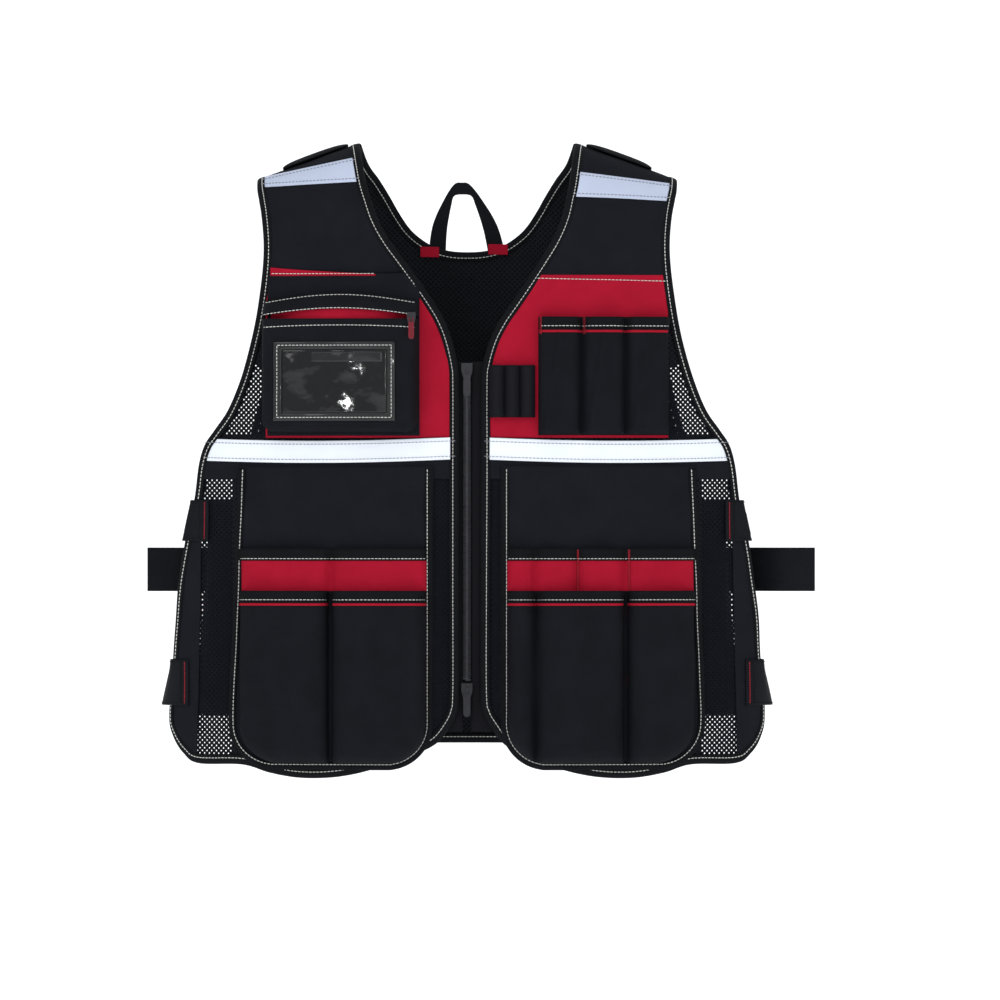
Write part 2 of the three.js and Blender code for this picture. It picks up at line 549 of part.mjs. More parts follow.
// The wearer's left chest: three pleated tool slots, their hem, and a band of elastic loops.
function buildToolSlots() {
  const seat = FACING[1] + GAP;
  const bottom = CHEST_TAPE.drop - SLOTS.bottomGap;
  const seams = steps(SLOTS.inner, SLOTS.outer, SLOTS.count);
  const slots = pouchOn(1, {
    inner: SLOTS.inner, outer: SLOTS.outer, top: SLOTS.mouth, bottom, pinches: seams.slice(1, -1),
    depth: SLOTS.depth, falloff: SLOTS.falloff,
  });
  const columns = columnsAcross(seams);
  const hemRows = [-SLOTS.mouth, -SLOTS.mouth - HEM.height];
  const rows = [...hemRows, -lerp(SLOTS.mouth, bottom, 0.6), -bottom + SLOTS.falloff, -bottom + 2, -bottom];
  addPiece('tool_slots', geometryFrom(pouchWall(slots, seat, CLOTH.facing, columns, rows)), FINISH.black);
  const hemSeat = seat + CLOTH.facing + GAP;
  addPiece('tool_slots_hem', geometryFrom(pouchWall(slots, hemSeat, CLOTH.tape, columns, hemRows)), FINISH.binding);

  const loopGrid = (extra) => [-LOOPS.drop, -LOOPS.drop - LOOPS.height].map((z) =>
    steps(0, 1, LOOPS.count * 6).map((u) => {
      const swell = LOOPS.depth * Math.abs(Math.sin(Math.PI * LOOPS.count * u)) ** 0.6;
      return pointOver(lerp(LOOPS.inner, LOOPS.outer, u), z, seat + swell + extra);
    }));
  addPiece('elastic_loops', wallBetween(loopGrid(0), loopGrid(CLOTH.facing)), FINISH.webbing);
}

// A zip slider with a bail on its front, and the pull whose top bar lies in the bail and turns there.
function buildSlider(sliderName, pullName, spot, scale) {
  const { width, height, thick, bail, bailBar, bailRoom, bailRise } = SLIDER;
  const axis = PULL.clear + PULL.thick / 2;
  const below = PULL.bar / 2 + SEAM_GAP;
  const block = (w, y0, y1, z0, z1) => solidFrom(
    new THREE.BoxGeometry(w, y1 - y0, z1 - z0).translate(0, -thick - (y0 + y1) / 2, (z0 + z1) / 2));
  const shield = new THREE.Shape();
  shield.moveTo(-width / 2, height / 2);
  shield.lineTo(width / 2, height / 2);
  shield.lineTo(width / 2, 0);
  shield.lineTo(width * 0.32, -height / 2);
  shield.lineTo(-width * 0.32, -height / 2);
  shield.lineTo(-width / 2, 0);
  const body = new THREE.ExtrudeGeometry(shield, { depth: thick, bevelEnabled: false }).rotateX(Math.PI / 2);
  const arch = block(bail, -thick / 2, bailRoom + bailBar, -below - bailBar, bailRise + bailBar);
  const room = block(2 * bail, 0, bailRoom, -below, bailRise);
  const slider = arch.subtract(room).add(solidFrom(body));
  addPiece(sliderName, placed(geometryFrom(slider), spot, scale), FINISH.metal);

  const { ring, eye, bar, length } = PULL;
  const eyeFoot = -Math.hypot(bailRoom - axis + bailBar, bailRise + bailBar) - 2 * SEAM_GAP;
  const [half, neck, shoulder] = [PULL.width / 2, eye / 2 + ring, eyeFoot - ring];
  const plate = new THREE.Shape();
  plate.moveTo(-neck, bar / 2);
  plate.lineTo(neck, bar / 2);
  plate.lineTo(neck, shoulder);
  plate.lineTo(half, shoulder - ring);
  plate.absarc(0, half - length, half, 0, -Math.PI, true);
  plate.lineTo(-half, shoulder - ring);
  plate.lineTo(-neck, shoulder);
  const hole = new THREE.Path();
  hole.moveTo(-eye / 2, -bar / 2);
  hole.lineTo(-eye / 2, eyeFoot);
  hole.lineTo(eye / 2, eyeFoot);
  hole.lineTo(eye / 2, -bar / 2);
  plate.holes.push(hole);
  const pull = new THREE.ExtrudeGeometry(plate, { depth: PULL.thick, bevelEnabled: false, curveSegments: 4 });
  pull.rotateX(Math.PI / 2).translate(0, PULL.thick / 2 - thick - axis, 0);
  addPiece(pullName, placed(pull, spot, scale), FINISH.metal);
}

function placed(geometry, spot, scale) {
  return geometry.scale(scale, scale, scale).translate(spot.x, spot.y, spot.z);
}

// The main zip: two tapes behind the front edges, the chain between them, and a slider at each end.
function buildZip() {
  const chainHalf = ZIP.chain / 2;
  const slab = solidFrom(drape(BEHIND, ROUND.zip));
  for (const [name, side] of SIDES) {
    const strip = rectangle(side, chainHalf + SEAM_GAP, chainHalf + ZIP.tape, ZIP.tapeTop, ZIP.tapeBottom);
    addPiece(`zip_tape_${name}`, geometryFrom(slab.intersect(pattern(strip))), FINISH.black);
  }
  const chainLayer = [BEHIND[0], BEHIND[0] + ZIP.chainDepth];
  const top = ZIP.top + SLIDER.height / 2 + SEAM_GAP;
  const bottom = ZIP.bottom + SEAM_GAP;
  const strip = pattern(rectangle(1, -chainHalf, chainHalf, top, bottom));
  const chain = solidFrom(drape(chainLayer, ROUND.zip)).intersect(strip);
  addPiece('zip_chain', geometryFrom(chain), FINISH.metal);
  const front = BEHIND[1] + GAP;
  const ends = [['top', ZIP.top], ['bottom', ZIP.bottom + SLIDER.height / 2 + 2 * SEAM_GAP]];
  for (const [end, drop] of ends)
    buildSlider(`zip_slider_${end}`, `zip_pull_${end}`, pointOver(0, -drop, front), 1);
}

// How far out the front's own edge stands at a drop down its side.
function edgeOut(side, drop) {
  const outline = frontOutline(side).map(([x, z]) => [Math.abs(x), -z]);
  const lowest = outline.reduce((best, point, k) => (point[1] > outline[best][1] ? k : best), 0);
  const path = outline.slice(lowest);
  const k = path.findIndex(([, at]) => at <= drop);
  const [above, below] = [path[k], path[k - 1]];
  return lerp(above[0], below[0], (drop - above[1]) / (below[1] - above[1]));
}

// Points in plan, on the wearer's left, of a layer over a run of the form's facets at one drop.
function planPoints(from, to, drop, offset) {
  const count = Math.max(1, Math.round(Math.abs(to - from) / LATTICE.step));
  return steps(from, to, count).map((angle) => {
    const { down } = overPoint(formPoint(angle, 1).x, -drop);
    const point = offsetPoint(angle, down, offset);
    return new THREE.Vector2(point.x, point.y);
  });
}

// The path in plan of a band at one drop: on the front as far as edge, across the side, and on the back.
function sidePath(drop, offset, [from, to, back], edge, reach) {
  const run = planPoints(from, to, drop, offset);
  const front = steps(run[0].x, edge, 6).map((x) => {
    const k = Math.max(run.findIndex((point) => point.x >= x), 1);
    return run[k - 1].clone().lerp(run[k], (x - run[k - 1].x) / (run[k].x - run[k - 1].x));
  });
  const behind = planPoints(back, back - LATTICE.step, drop, offset);
  const [start, end] = [front[front.length - 1], behind[0]];
  const first = new THREE.Vector2(Math.max(reach, edge + STRAP.turn), lerp(start.y, end.y, 0.2));
  const second = new THREE.Vector2(Math.max(reach, end.x + STRAP.turn), end.y * 0.85);
  const bow = new THREE.CubicBezierCurve(start, first, second, end).getPoints(6).slice(1, -1);
  return [...front, ...bow, ...behind];
}

// A path in plan moved sideways by a distance.
function movedPath(path, distance) {
  return path.map((point, k) => {
    const along = path[Math.min(k + 1, path.length - 1)].clone().sub(path[Math.max(k - 1, 0)]).normalize();
    return new THREE.Vector2(point.x - along.y * distance, point.y + along.x * distance);
  });
}

// A band of cloth between two drops, from its path in plan at each.
function sideBand(side, [top, bottom], pathAt, thick) {
  const grid = (distance) => [top, bottom].map((drop) =>
    movedPath(pathAt(drop), distance).map((point) => new THREE.Vector3(side * point.x, point.y, -drop)));
  return wallBetween(grid(-thick / 2), grid(thick / 2));
}

function buildSide(name, side) {
  const wingBottom = WING.top + WING.height;
  const wing = (drop) => {
    const reach = lerp(WING.reachTop, WING.reachBottom, (drop - WING.top) / WING.height);
    const edge = planPoints(WING.to, WING.to, drop, 0)[0].x;
    return sidePath(drop, (BEHIND[0] + BEHIND[1]) / 2, [WING.from, 0, WING.back], edge, reach);
  };
  addPiece(`side_wing_${name}`, sideBand(side, [WING.top, wingBottom], wing, CLOTH.facing), FINISH.black);

  const offset = Math.max(BOUND_EDGE[1], FACING[1]) + GAP + CLOTH.webbing / 2;
  const bands = [
    ['upper', STRAP.upper, STRAP.upperHeight, STRAP.upperFrom, STRAP.upperReach],
    ['lower', STRAP.lower, STRAP.lowerHeight, STRAP.lowerFrom, STRAP.lowerReach],
  ];
  for (const [label, top, height, from, reach] of bands) {
    const path = (drop) => {
      const edge = edgeOut(side, drop) + STRAP.past;
      return sidePath(drop, offset, [from, 0, STRAP.back], edge, lerp(edge, reach, (drop - top) / height));
    };
    addPiece(`strap_${label}_${name}`, sideBand(side, [top, top + height], path, CLOTH.webbing), FINISH.webbing);
  }

  // The tab leaves the back and ends in a flat stretch that stands out to the side.
  const tip = side > 0 ? TAB.tipLeft : TAB.tipRight;
  const lying = planPoints(STRAP.back - LATTICE.step, STRAP.back, TAB.drop + TAB.height / 2, offset);
  const start = lying[lying.length - 1];
  const end = new THREE.Vector2(tip - TAB.flat, TAB.standing);
  const leaving = start.clone().sub(lying[0]).setLength((end.x - start.x) / 2).add(start);
  const arriving = new THREE.Vector2(lerp(start.x, end.x, 0.6), TAB.standing + 4);
  const bend = new THREE.CubicBezierCurve(start, leaving, arriving, end).getPoints(5).slice(1);
  const tab = [...lying, ...bend, new THREE.Vector2(tip, TAB.standing)];
  addPiece(`strap_tab_${name}`, sideBand(side, [TAB.drop, TAB.drop + TAB.height], () => tab, CLOTH.webbing),
    FINISH.webbing);
}

// A pad that lies over the shoulder seam: from a little in front of it to well behind it.
function buildPad(name, side) {
  const seat = ON_FACING[1] + GAP;
  const grid = (shareOfPuff) => PAD_ROWS.map((v) => PAD_COLUMNS.map((u) => {
    const x = side * lerp(PAD.inner, PAD.outer, u);
    const angle = lerp(-PAD.front, PAD.back, v);
    const { around } = overPoint(x, 0, angle < 0 ? 1 : -1);
    const swell = PAD.rim + PAD.puff * Math.sin(Math.PI * u) ** 0.5 * Math.sin(Math.PI * v) ** 0.5;
    const down = Math.abs(angle) / 90;
    return offsetPoint(around, down, seat + shareOfPuff * swell);
  }));
  addPiece(`shoulder_pad_${name}`, wallBetween(grid(0), grid(1)), FINISH.black);
}

// The hanging loop: a band of webbing bent into a tall arch on the neck edge, between two red tabs.
function buildHangingLoop() {
  const neck = -BACK_EDGE[0].down * BODY.length;
  const { width, foot, height, crown, lean } = LOOP;
  const outer = [[foot, 0], [foot * 0.82, height * 0.45], [crown * 1.2, height * 0.86], [crown * 0.4, height]];
  const inner = [[foot - width, 0], [foot - width - 4, height * 0.4], [crown * 0.9, height - width * 0.7]];
  const outline = [
    ...outer.map(([x, z]) => [-x, z]), ...outer.slice().reverse(),
    ...inner, ...inner.slice().reverse().map(([x, z]) => [-x, z]),
  ];
  const shape = new THREE.Shape(outline.map(([x, z]) => new THREE.Vector2(x + (lean * z) / height, z)));
  const arch = new THREE.ExtrudeGeometry(shape, { depth: CLOTH.webbing, bevelEnabled: false }).rotateX(Math.PI / 2);
  const back = pointOver(0, neck, BOUND_EDGE[1], -1);
  arch.translate(0, back.y + CLOTH.webbing + GAP, neck - BINDING.width);
  addPiece('hanging_loop', arch, FINISH.webbing);
  const layer = [BOUND_EDGE[0] - GAP - CLOTH.facing, BOUND_EDGE[0] - GAP];
  for (const [name, side] of SIDES) {
    const tab = rectangle(side, foot - width, foot, -neck - 6, -neck + BINDING.width - 1);
    addPiece(`loop_tab_${name}`, geometryFrom(solidFrom(drape(layer, ROUND.back)).intersect(pattern(tab))), FINISH.red);
  }
}

for (const [name, side] of SIDES) {
  buildFront(name, side);
  buildLowerPocket(name, side);
  buildSide(name, side);
  buildPad(name, side);
}
buildBack();
buildChestBag();
buildToolSlots();
buildZip();
buildHangingLoop();

export default vest;
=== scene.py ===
"""The looks of a utility work vest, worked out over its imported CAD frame.

Every piece is a numpy surface or a profile carried along a path on one body form, in millimetres,
and becomes a mesh in metres at the very end. X is to the wearer's left, -Y the front, +Z up.
"""
import json
import math
import bpy
import numpy as np
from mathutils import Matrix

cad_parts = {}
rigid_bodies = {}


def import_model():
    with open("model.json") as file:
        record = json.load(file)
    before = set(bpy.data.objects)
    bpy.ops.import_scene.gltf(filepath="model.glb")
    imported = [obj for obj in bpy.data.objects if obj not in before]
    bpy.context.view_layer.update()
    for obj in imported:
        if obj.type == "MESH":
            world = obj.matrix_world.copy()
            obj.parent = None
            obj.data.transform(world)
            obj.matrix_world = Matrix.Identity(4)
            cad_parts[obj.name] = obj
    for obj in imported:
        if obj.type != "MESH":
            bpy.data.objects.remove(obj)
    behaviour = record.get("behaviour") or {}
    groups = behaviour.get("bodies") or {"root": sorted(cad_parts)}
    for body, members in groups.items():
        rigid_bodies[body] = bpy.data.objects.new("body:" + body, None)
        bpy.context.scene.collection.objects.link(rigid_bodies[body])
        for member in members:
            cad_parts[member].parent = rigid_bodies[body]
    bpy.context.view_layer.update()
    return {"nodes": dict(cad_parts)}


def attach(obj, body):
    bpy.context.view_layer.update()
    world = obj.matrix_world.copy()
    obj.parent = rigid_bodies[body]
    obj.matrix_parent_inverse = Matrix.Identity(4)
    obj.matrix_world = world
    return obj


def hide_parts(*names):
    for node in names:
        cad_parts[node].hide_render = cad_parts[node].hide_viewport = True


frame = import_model()

# The body form of the CAD model, in millimetres.
HALF_WIDTH, FRONT_DEPTH, BACK_DEPTH, LENGTH = 302.0, 85.0, 80.0, 610.0
SQUARENESS, FLARE, ROLL, FLOOR = 2.6, 0.1, 110.0, 625.0
NECK_OUT, NECK_RISE, SLOPE = 112.0, 20.0, 0.36

# Lifts of the layers off the form: the lining, the panels on it, what is sewn on those, and the pouches.
LINING, PANEL, ON_PANEL, RED_SEAT, FRONT_SEAT, BAG_SEAT = 1.0, 3.4, 4.6, 5.2, 6.9, 5.2

# The edge of a front: shares of the half width and of the length, and the left front's ease.
FRONT_EDGE = np.array([
    (.368, -.060, 0), (.354, -.025, 0), (.334, .030, .005), (.318, .057, .010), (.295, .090, .017),
    (.258, .123, .025), (.205, .159, .034), (.149, .197, .040), (.109, .226, .040), (.076, .254, .034),
    (.050, .287, .026), (.031, .328, .021), (.0265, .360, .020), (.0265, .500, .020), (.0265, .700, .018),
    (.0265, .861, .018), (.034, .897, .020), (.060, .923, .024), (.099, .946, .020), (.159, .962, .010),
    (.242, .977, 0), (.340, .993, 0), (.440, 1.002, 0), (.550, 1.003, 0), (.650, .995, 0),
    (.740, .982, 0), (.887, .981, 0), (.937, .966, 0), (.970, .939, 0), (.983, .902, 0), (.970, .811, 0),
    (.957, .713, 0), (.930, .615, 0), (.901, .549, 0), (.887, .492, 0), (.868, .459, 0), (.834, .434, 0),
    (.790, .402, 0), (.748, .352, 0), (.719, .303, 0), (.697, .254, 0), (.682, .205, 0), (.672, .159, 0),
    (.671, .123, 0), (.679, .084, 0), (.689, .057, 0), (.697, .030, 0), (.702, -.060, 0)])
LOWEST = 23
BACK_EDGE = np.array([
    (0, .136), (.060, .134), (.116, .126), (.162, .112), (.198, .095), (.232, .070), (.262, .044),
    (.295, .018), (.334, -.010), (.368, -.060), (.702, -.060), (.697, .030), (.672, .084), (.652, .140),
    (.652, .205), (.665, .290), (.690, .370), (.722, .430), (.742, .480), (.745, .620), (.745, .760),
    (.745, .885), (.722, .927), (.675, .948), (.600, .954), (0, .954)])
SHOULDER_AT = 9

# Body form and the places on it

# How far under the shoulder's highest line, in height, the fronts and the back meet in their seam.
SEAM_DROP = 0.0015


def ridge(x):
    """Height of the shoulder seam: it falls evenly with the distance from the centre."""
    return NECK_RISE - SLOPE * (np.abs(x) - NECK_OUT)


def form(around, down):
    """A superellipse in plan, rolled over at the shoulder by a quarter ellipse and flared below it."""
    turn = np.radians(around)
    across = np.cos(turn)
    x = HALF_WIDTH * np.abs(across) ** (2 / SQUARENESS) * np.sign(across)
    full = -np.where(np.sin(turn) > 0, FRONT_DEPTH, BACK_DEPTH) * np.sin(turn)
    roll = np.clip(down, 0, 1) * np.pi / 2
    fall = np.clip(down - 1, 0, None)
    top = ridge(x) - ROLL
    z = np.where(down <= 1, top + ROLL * np.cos(roll), top + (-FLOOR - top) * fall)
    return np.stack([x, full * np.sin(roll) * (1 + FLARE * fall), z], -1)


def unit(vectors):
    return vectors / np.maximum(np.linalg.norm(vectors, axis=-1, keepdims=True), 1e-9)


def outward(around, down):
    """The form's normal: the cross product of its slopes round the body and down it."""
    across = form(around + 0.05, down) - form(around - 0.05, down)
    along = form(around, down + 0.0005) - form(around, np.maximum(down - 0.0005, 0))
    return unit(np.cross(across, along))


def over(x, z, face=1):
    """The form's own angle and fall below a point of the front view (face 1) or the back view (-1)."""
    turn = np.degrees(np.arccos(np.clip(np.abs(x) / HALF_WIDTH, 0, 1) ** (SQUARENESS / 2)))
    around = face * np.where(x >= 0, turn, 180 - turn)
    top = ridge(x)
    rolled = top - ROLL
    roll = np.arccos(np.clip(1 - (top - z) / ROLL, -1, 1)) / (np.pi / 2)
    return around, np.where(z > rolled, roll, 1 + (rolled - z) / (rolled + FLOOR))


def waves(x, z, seed, size, count=9, lean=0.0, spread=math.pi):
    """Soft folds, about -1 to 1: a sum of cosines whose length is near size, at seeded angles."""
    random = np.random.default_rng(seed)
    total = np.zeros(np.broadcast(x, z).shape)
    for _ in range(count):
        angle = lean + random.uniform(-spread, spread) / 2
        length = size * random.uniform(0.7, 1.6)
        phase = random.uniform(0, 2 * np.pi)
        total += np.cos((x * np.cos(angle) + z * np.sin(angle)) * 2 * np.pi / length + phase)
    return total / count ** 0.5 / 1.4


def smooth(low, high, value):
    """0 below low, 1 above high, and an S curve between."""
    share = np.clip((value - low) / (high - low), 0, 1)
    return share * share * (3 - 2 * share)


def sway(x, z, face):
    """How far all the layers hang off the form together: broad soft folds that die out at the zip."""
    calm = smooth(12, 70, np.abs(x)) * smooth(-4, -60, z)
    broad = waves(x, z, 7 if face > 0 else 8, 170, 7, 0.3, 2.2)
    small = waves(x, z, 17 if face > 0 else 18, 70, 9, 0.2, 2.6)
    return calm * (1.9 * broad + 0.55 * small)


def lay(x, z, lift=0.0, face=1):
    """The place over a point of the front or back view, lifted off the form along its normal."""
    around, down = over(x, z, face)
    return form(around, down) + outward(around, down) * (lift + sway(x, z, face))[..., None]


def faced(x, z, face=1):
    return outward(*over(x, z, face))


def curve(points, spacing=1.0):
    """A Catmull-Rom curve through the points, cut again at even spacing."""
    points = np.asarray(points, float)
    ends = np.vstack([2 * points[0] - points[1], points, 2 * points[-1] - points[-2]])
    t = np.linspace(0, 1, 24, endpoint=False)[None, :, None]
    a, b, c, d = (ends[k:len(ends) - 3 + k, None, :] for k in range(4))
    line = 0.5 * (2 * b + (c - a) * t + (2 * a - 5 * b + 4 * c - d) * t ** 2
                  + (3 * b - a - 3 * c + d) * t ** 3)
    return evenly(np.vstack([line.reshape(-1, points.shape[1]), points[-1:]]), spacing)


def lengths(line):
    return np.concatenate([[0], np.cumsum(np.linalg.norm(np.diff(line, axis=0), axis=1))])


def evenly(line, spacing):
    """The same line cut at even steps of its own length."""
    far = lengths(line)
    count = max(int(round(far[-1] / spacing)), 2)
    at = np.linspace(0, far[-1], count + 1)
    return np.stack([np.interp(at, far, line[:, k]) for k in range(line.shape[1])], -1)


def front_outline(side):
    out = FRONT_EDGE[:, 0] + (FRONT_EDGE[:, 2] if side > 0 else 0)
    return np.stack([out * HALF_WIDTH, -FRONT_EDGE[:, 1] * LENGTH], -1)


def moved_in(line, distance):
    """A line in the front view moved to its own left-hand side by a distance."""
    along = unit(np.gradient(line, axis=0))
    return line + distance * np.stack([-along[:, 1], along[:, 0]], -1)


def edge_table(points, distance):
    """Distance from the centre against height along an edge, ready for np.interp."""
    line = moved_in(curve(points, 1.0), distance)
    order = np.argsort(line[:, 1])
    return line[order, 1], line[order, 0]


class Front:
    """One front's own edges: how far out its inner and outer edges stand at each height."""

    def __init__(self, side):
        self.side = side
        self.name = "l" if side > 0 else "r"
        self.points = front_outline(side)
        self.tables = {}

    def edge(self, z, outer, distance):
        key = (outer, distance)
        if key not in self.tables:
            points = self.points[LOWEST:] if outer else self.points[:LOWEST + 1]
            self.tables[key] = edge_table(points, distance)
        heights, outs = self.tables[key]
        return np.interp(z, heights, outs)

    def patch(self, top, bottom, rows, columns, inner=None, outer=None, margin=4.0):
        """Grid of places in the front view between two heights and between the edges, or tighter bounds."""
        u, v = np.meshgrid(np.linspace(0, 1, columns), np.linspace(0, 1, rows))
        level = lambda bound, x: bound(x) if callable(bound) else np.full_like(x, bound)
        z = (top if not callable(top) else -20.0) * (1 - v) + (bottom if not callable(bottom) else -590.0) * v
        for _ in range(12):
            near = self.edge(z, False, margin)
            far = self.edge(z, True, margin)
            if inner is not None:
                near = np.maximum(near, level(inner, z))
            if outer is not None:
                far = np.minimum(far, level(outer, z))
            x = near + (np.maximum(far, near + 1) - near) * u
            start = over(x, np.minimum(level(top, x), ridge(x) - 0.02))[1]
            end = over(x, level(bottom, x))[1]
            fall = start + (end - start) * v
            z = fallen(x, fall)
        return self.side * x, z


def fallen(x, down):
    """Height of the form at a distance out and a fall."""
    top = ridge(x) - ROLL
    return np.where(down <= 1, top + ROLL * np.cos(np.clip(down, 0, 1) * np.pi / 2),
                    top + (-FLOOR - top) * (down - 1))


FRONTS = [Front(-1), Front(1)]

# Making meshes

def quads(rows, columns, start=0, ring=False):
    """Faces of a grid of points, row by row; ring joins the last column to the first."""
    across = columns if ring else columns - 1
    i, j = np.meshgrid(np.arange(rows - 1), np.arange(across), indexing="ij")
    k = (j + 1) % columns
    return start + np.stack([i * columns + j, (i + 1) * columns + j, (i + 1) * columns + k,
                             i * columns + k],
                            -1).reshape(-1, 4)


def enclosed(points, faces):
    """Six times the volume inside the faces, which is under nought where they point inwards."""
    a, b, c, d = (points[faces[:, k]] for k in range(4))
    return ((a * np.cross(b, c)).sum() + (a * np.cross(c, d)).sum())


def make(name, points, faces, finish, uv=None, body="vest", replaces=(), closed=True,
         flat=False):
    """Puts points in millimetres and four-cornered faces into one named mesh object that rides on a body."""
    points = np.asarray(points, float).reshape(-1, 3) / 1000
    if closed and enclosed(points, faces) < 0:
        faces = faces[:, ::-1]
    mesh = bpy.data.meshes.new(name)
    mesh.vertices.add(len(points))
    mesh.vertices.foreach_set("co", points.astype(np.float32).ravel())
    mesh.loops.add(faces.size)
    mesh.loops.foreach_set("vertex_index", faces.astype(np.int32).ravel())
    mesh.polygons.add(len(faces))
    mesh.polygons.foreach_set("loop_start", np.arange(0, faces.size, 4, dtype=np.int32))
    mesh.update(calc_edges=True)
    if uv is not None:
        layer = mesh.uv_layers.new(name="cloth")
        corners = np.asarray(uv).reshape(-1, 2)[faces.ravel()]
        layer.data.foreach_set("uv", corners.astype(np.float32).ravel())
    mesh.polygons.foreach_set("use_smooth", np.full(len(faces), not flat))
    piece = bpy.data.objects.new(name, mesh)
    bpy.context.scene.collection.objects.link(piece)
    piece.data.materials.append(finish)
    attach(piece, body)
    if replaces:
        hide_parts(*replaces)
    return piece


def slab(outer, inner):
    """A closed wall between two grids of points of the same size."""
    rows, columns = outer.shape[:2]
    size = rows * columns
    front = quads(rows, columns)
    behind = quads(rows, columns, size)[:, ::-1]
    at = np.arange(size).reshape(rows, columns)
    rim = np.concatenate([at[0], at[1:, -1], at[-1, -2::-1], at[-2:0:-1, 0]])
    turned = np.roll(rim, -1)
    walls = np.stack([rim, turned, turned + size, rim + size], -1)
    return np.concatenate([outer.reshape(-1, 3), inner.reshape(-1, 3)]), np.concatenate([front, behind,
                                                                                         walls])


def span(grid):
    """Width, length and area of a grid of points, in metres, as the cloth would measure laid flat."""
    across = np.linalg.norm(np.diff(grid, axis=1), axis=-1).sum(1).max() / 1000
    along = np.linalg.norm(np.diff(grid, axis=0), axis=-1).sum(0).max() / 1000
    a, b = grid[1:, 1:] - grid[:-1, :-1], grid[1:, :-1] - grid[:-1, 1:]
    area = np.linalg.norm(np.cross(a, b), axis=-1).sum() / 2e6
    return across, along, min(area, across * along)


def cloth(name, outer, normal, thick, finish, uv, held, rests, replaces=()):
    """A sheet of cloth: a grid, and the same grid moved in by its thickness. SHEETS keeps its flat size."""
    inner = outer - normal * thick
    points, faces = slab(outer, inner)
    piece = make(name, points, faces, finish, np.concatenate([uv.reshape(-1, 2)] * 2), replaces=replaces)
    across, along, area = span((outer + inner) / 2)
    SHEETS.append((piece, across, along, area, held, rests))
    return piece


SHEETS = []


def tube(places, sides, ups, profile, ring=True):
    """A profile, as distances across and up, carried along a path with its own two directions."""
    across, up = profile[:, 0][None, :, None], profile[:, 1][None, :, None]
    rings = places[:, None, :] + sides[:, None, :] * across + ups[:, None, :] * up
    count, around = rings.shape[:2]
    faces = quads(count, around, ring=ring)
    points = rings.reshape(-1, 3)
    middle = rings.mean(1)
    first, last = len(points), len(points) + 1
    points = np.vstack([points, middle[0], middle[-1]])
    at = np.arange(around)
    fan = np.roll(at, -1)
    start = np.stack([np.full(around, first), at, fan, fan], -1)
    end = np.stack([np.full(around, last), at + (count - 1) * around, fan + (count - 1) * around,
                    fan + (count - 1) * around], -1)[:, [0, 2, 1, 1]]
    return points, faces, start, end


STITCHES = {}


def stitch(line, ups, kind="white", pitch=3.7, length=2.7, thick=0.46, rise=0.3):
    """Thread along a line of places: each stitch is a short four-sided rod whose ends dip into the cloth."""
    far = lengths(line)
    count = int(far[-1] // pitch)
    if count < 1:
        return
    at = (np.arange(count) + 0.5) * far[-1] / count
    place = np.stack([np.interp(at, far, line[:, k]) for k in range(3)], -1)
    ahead = np.stack([np.interp(at + length / 2, far, line[:, k]) for k in range(3)], -1)
    before = np.stack([np.interp(at - length / 2, far, line[:, k]) for k in range(3)], -1)
    along = unit(ahead - before)
    up = unit(np.stack([np.interp(at, far, ups[:, k]) for k in range(3)], -1))
    across = np.cross(up, along)
    spots = length * np.array([-0.5, -0.32, 0.32, 0.5])
    heights = np.array([-0.35, rise, rise, -0.35])
    turn = np.arange(4) * np.pi / 2 + np.pi / 4
    ring = (place[:, None, :] + along[:, None, :] * spots[None, :, None]
            + up[:, None, :] * heights[None, :, None])
    offset = across[:, None, :] * np.cos(turn)[None, :, None] + up[:, None, :] * np.sin(turn)[None, :, None]
    points = ring[:, :, None, :] + thick * offset[:, None, :, :]
    STITCHES.setdefault(kind, []).append(points)


def sew(name, kind, finish):
    """All the stitches of one kind of thread as one mesh."""
    points = np.concatenate(STITCHES[kind])
    count = len(points)
    one = np.concatenate([quads(4, 4, ring=True), [[0, 1, 2, 3]], [[15, 14, 13, 12]]])
    faces = (one[None] + 16 * np.arange(count)[:, None, None]).reshape(-1, 4)
    if enclosed(points[0].reshape(-1, 3), one) < 0:
        faces = faces[:, ::-1]
    return make(name, points, faces, finish, closed=False)

# Finishes

class Wire:
    """A node's output with arithmetic: each expression adds one Math node to the same finish."""

    def __init__(self, finish, socket):
        self.finish, self.socket = finish, socket

    def calculate(self, operation, *values):
        return self.finish.node("ShaderNodeMath", {"operation": operation}, dict(enumerate(values)))

    def __add__(self, other):
        return self.calculate("ADD", self, other)

    __radd__ = __add__

    def __mul__(self, other):
        return self.calculate("MULTIPLY", self, other)

    __rmul__ = __mul__

    def __sub__(self, other):
        return self.calculate("SUBTRACT", self, other)

    def __rsub__(self, other):
        return self.calculate("SUBTRACT", other, self)

    def __truediv__(self, other):
        return self.calculate("DIVIDE", self, other)

    def __pow__(self, other):
        return self.calculate("POWER", self, other)

    def sine(self):
        return self.calculate("SINE", self)

    def size(self):
        return self.calculate("ABSOLUTE", self)

    def above(self, other):
        return self.calculate("GREATER_THAN", self, other)

    def fraction(self):
        return self.calculate("FRACT", self)

    def floor(self):
        return self.calculate("FLOOR", self)


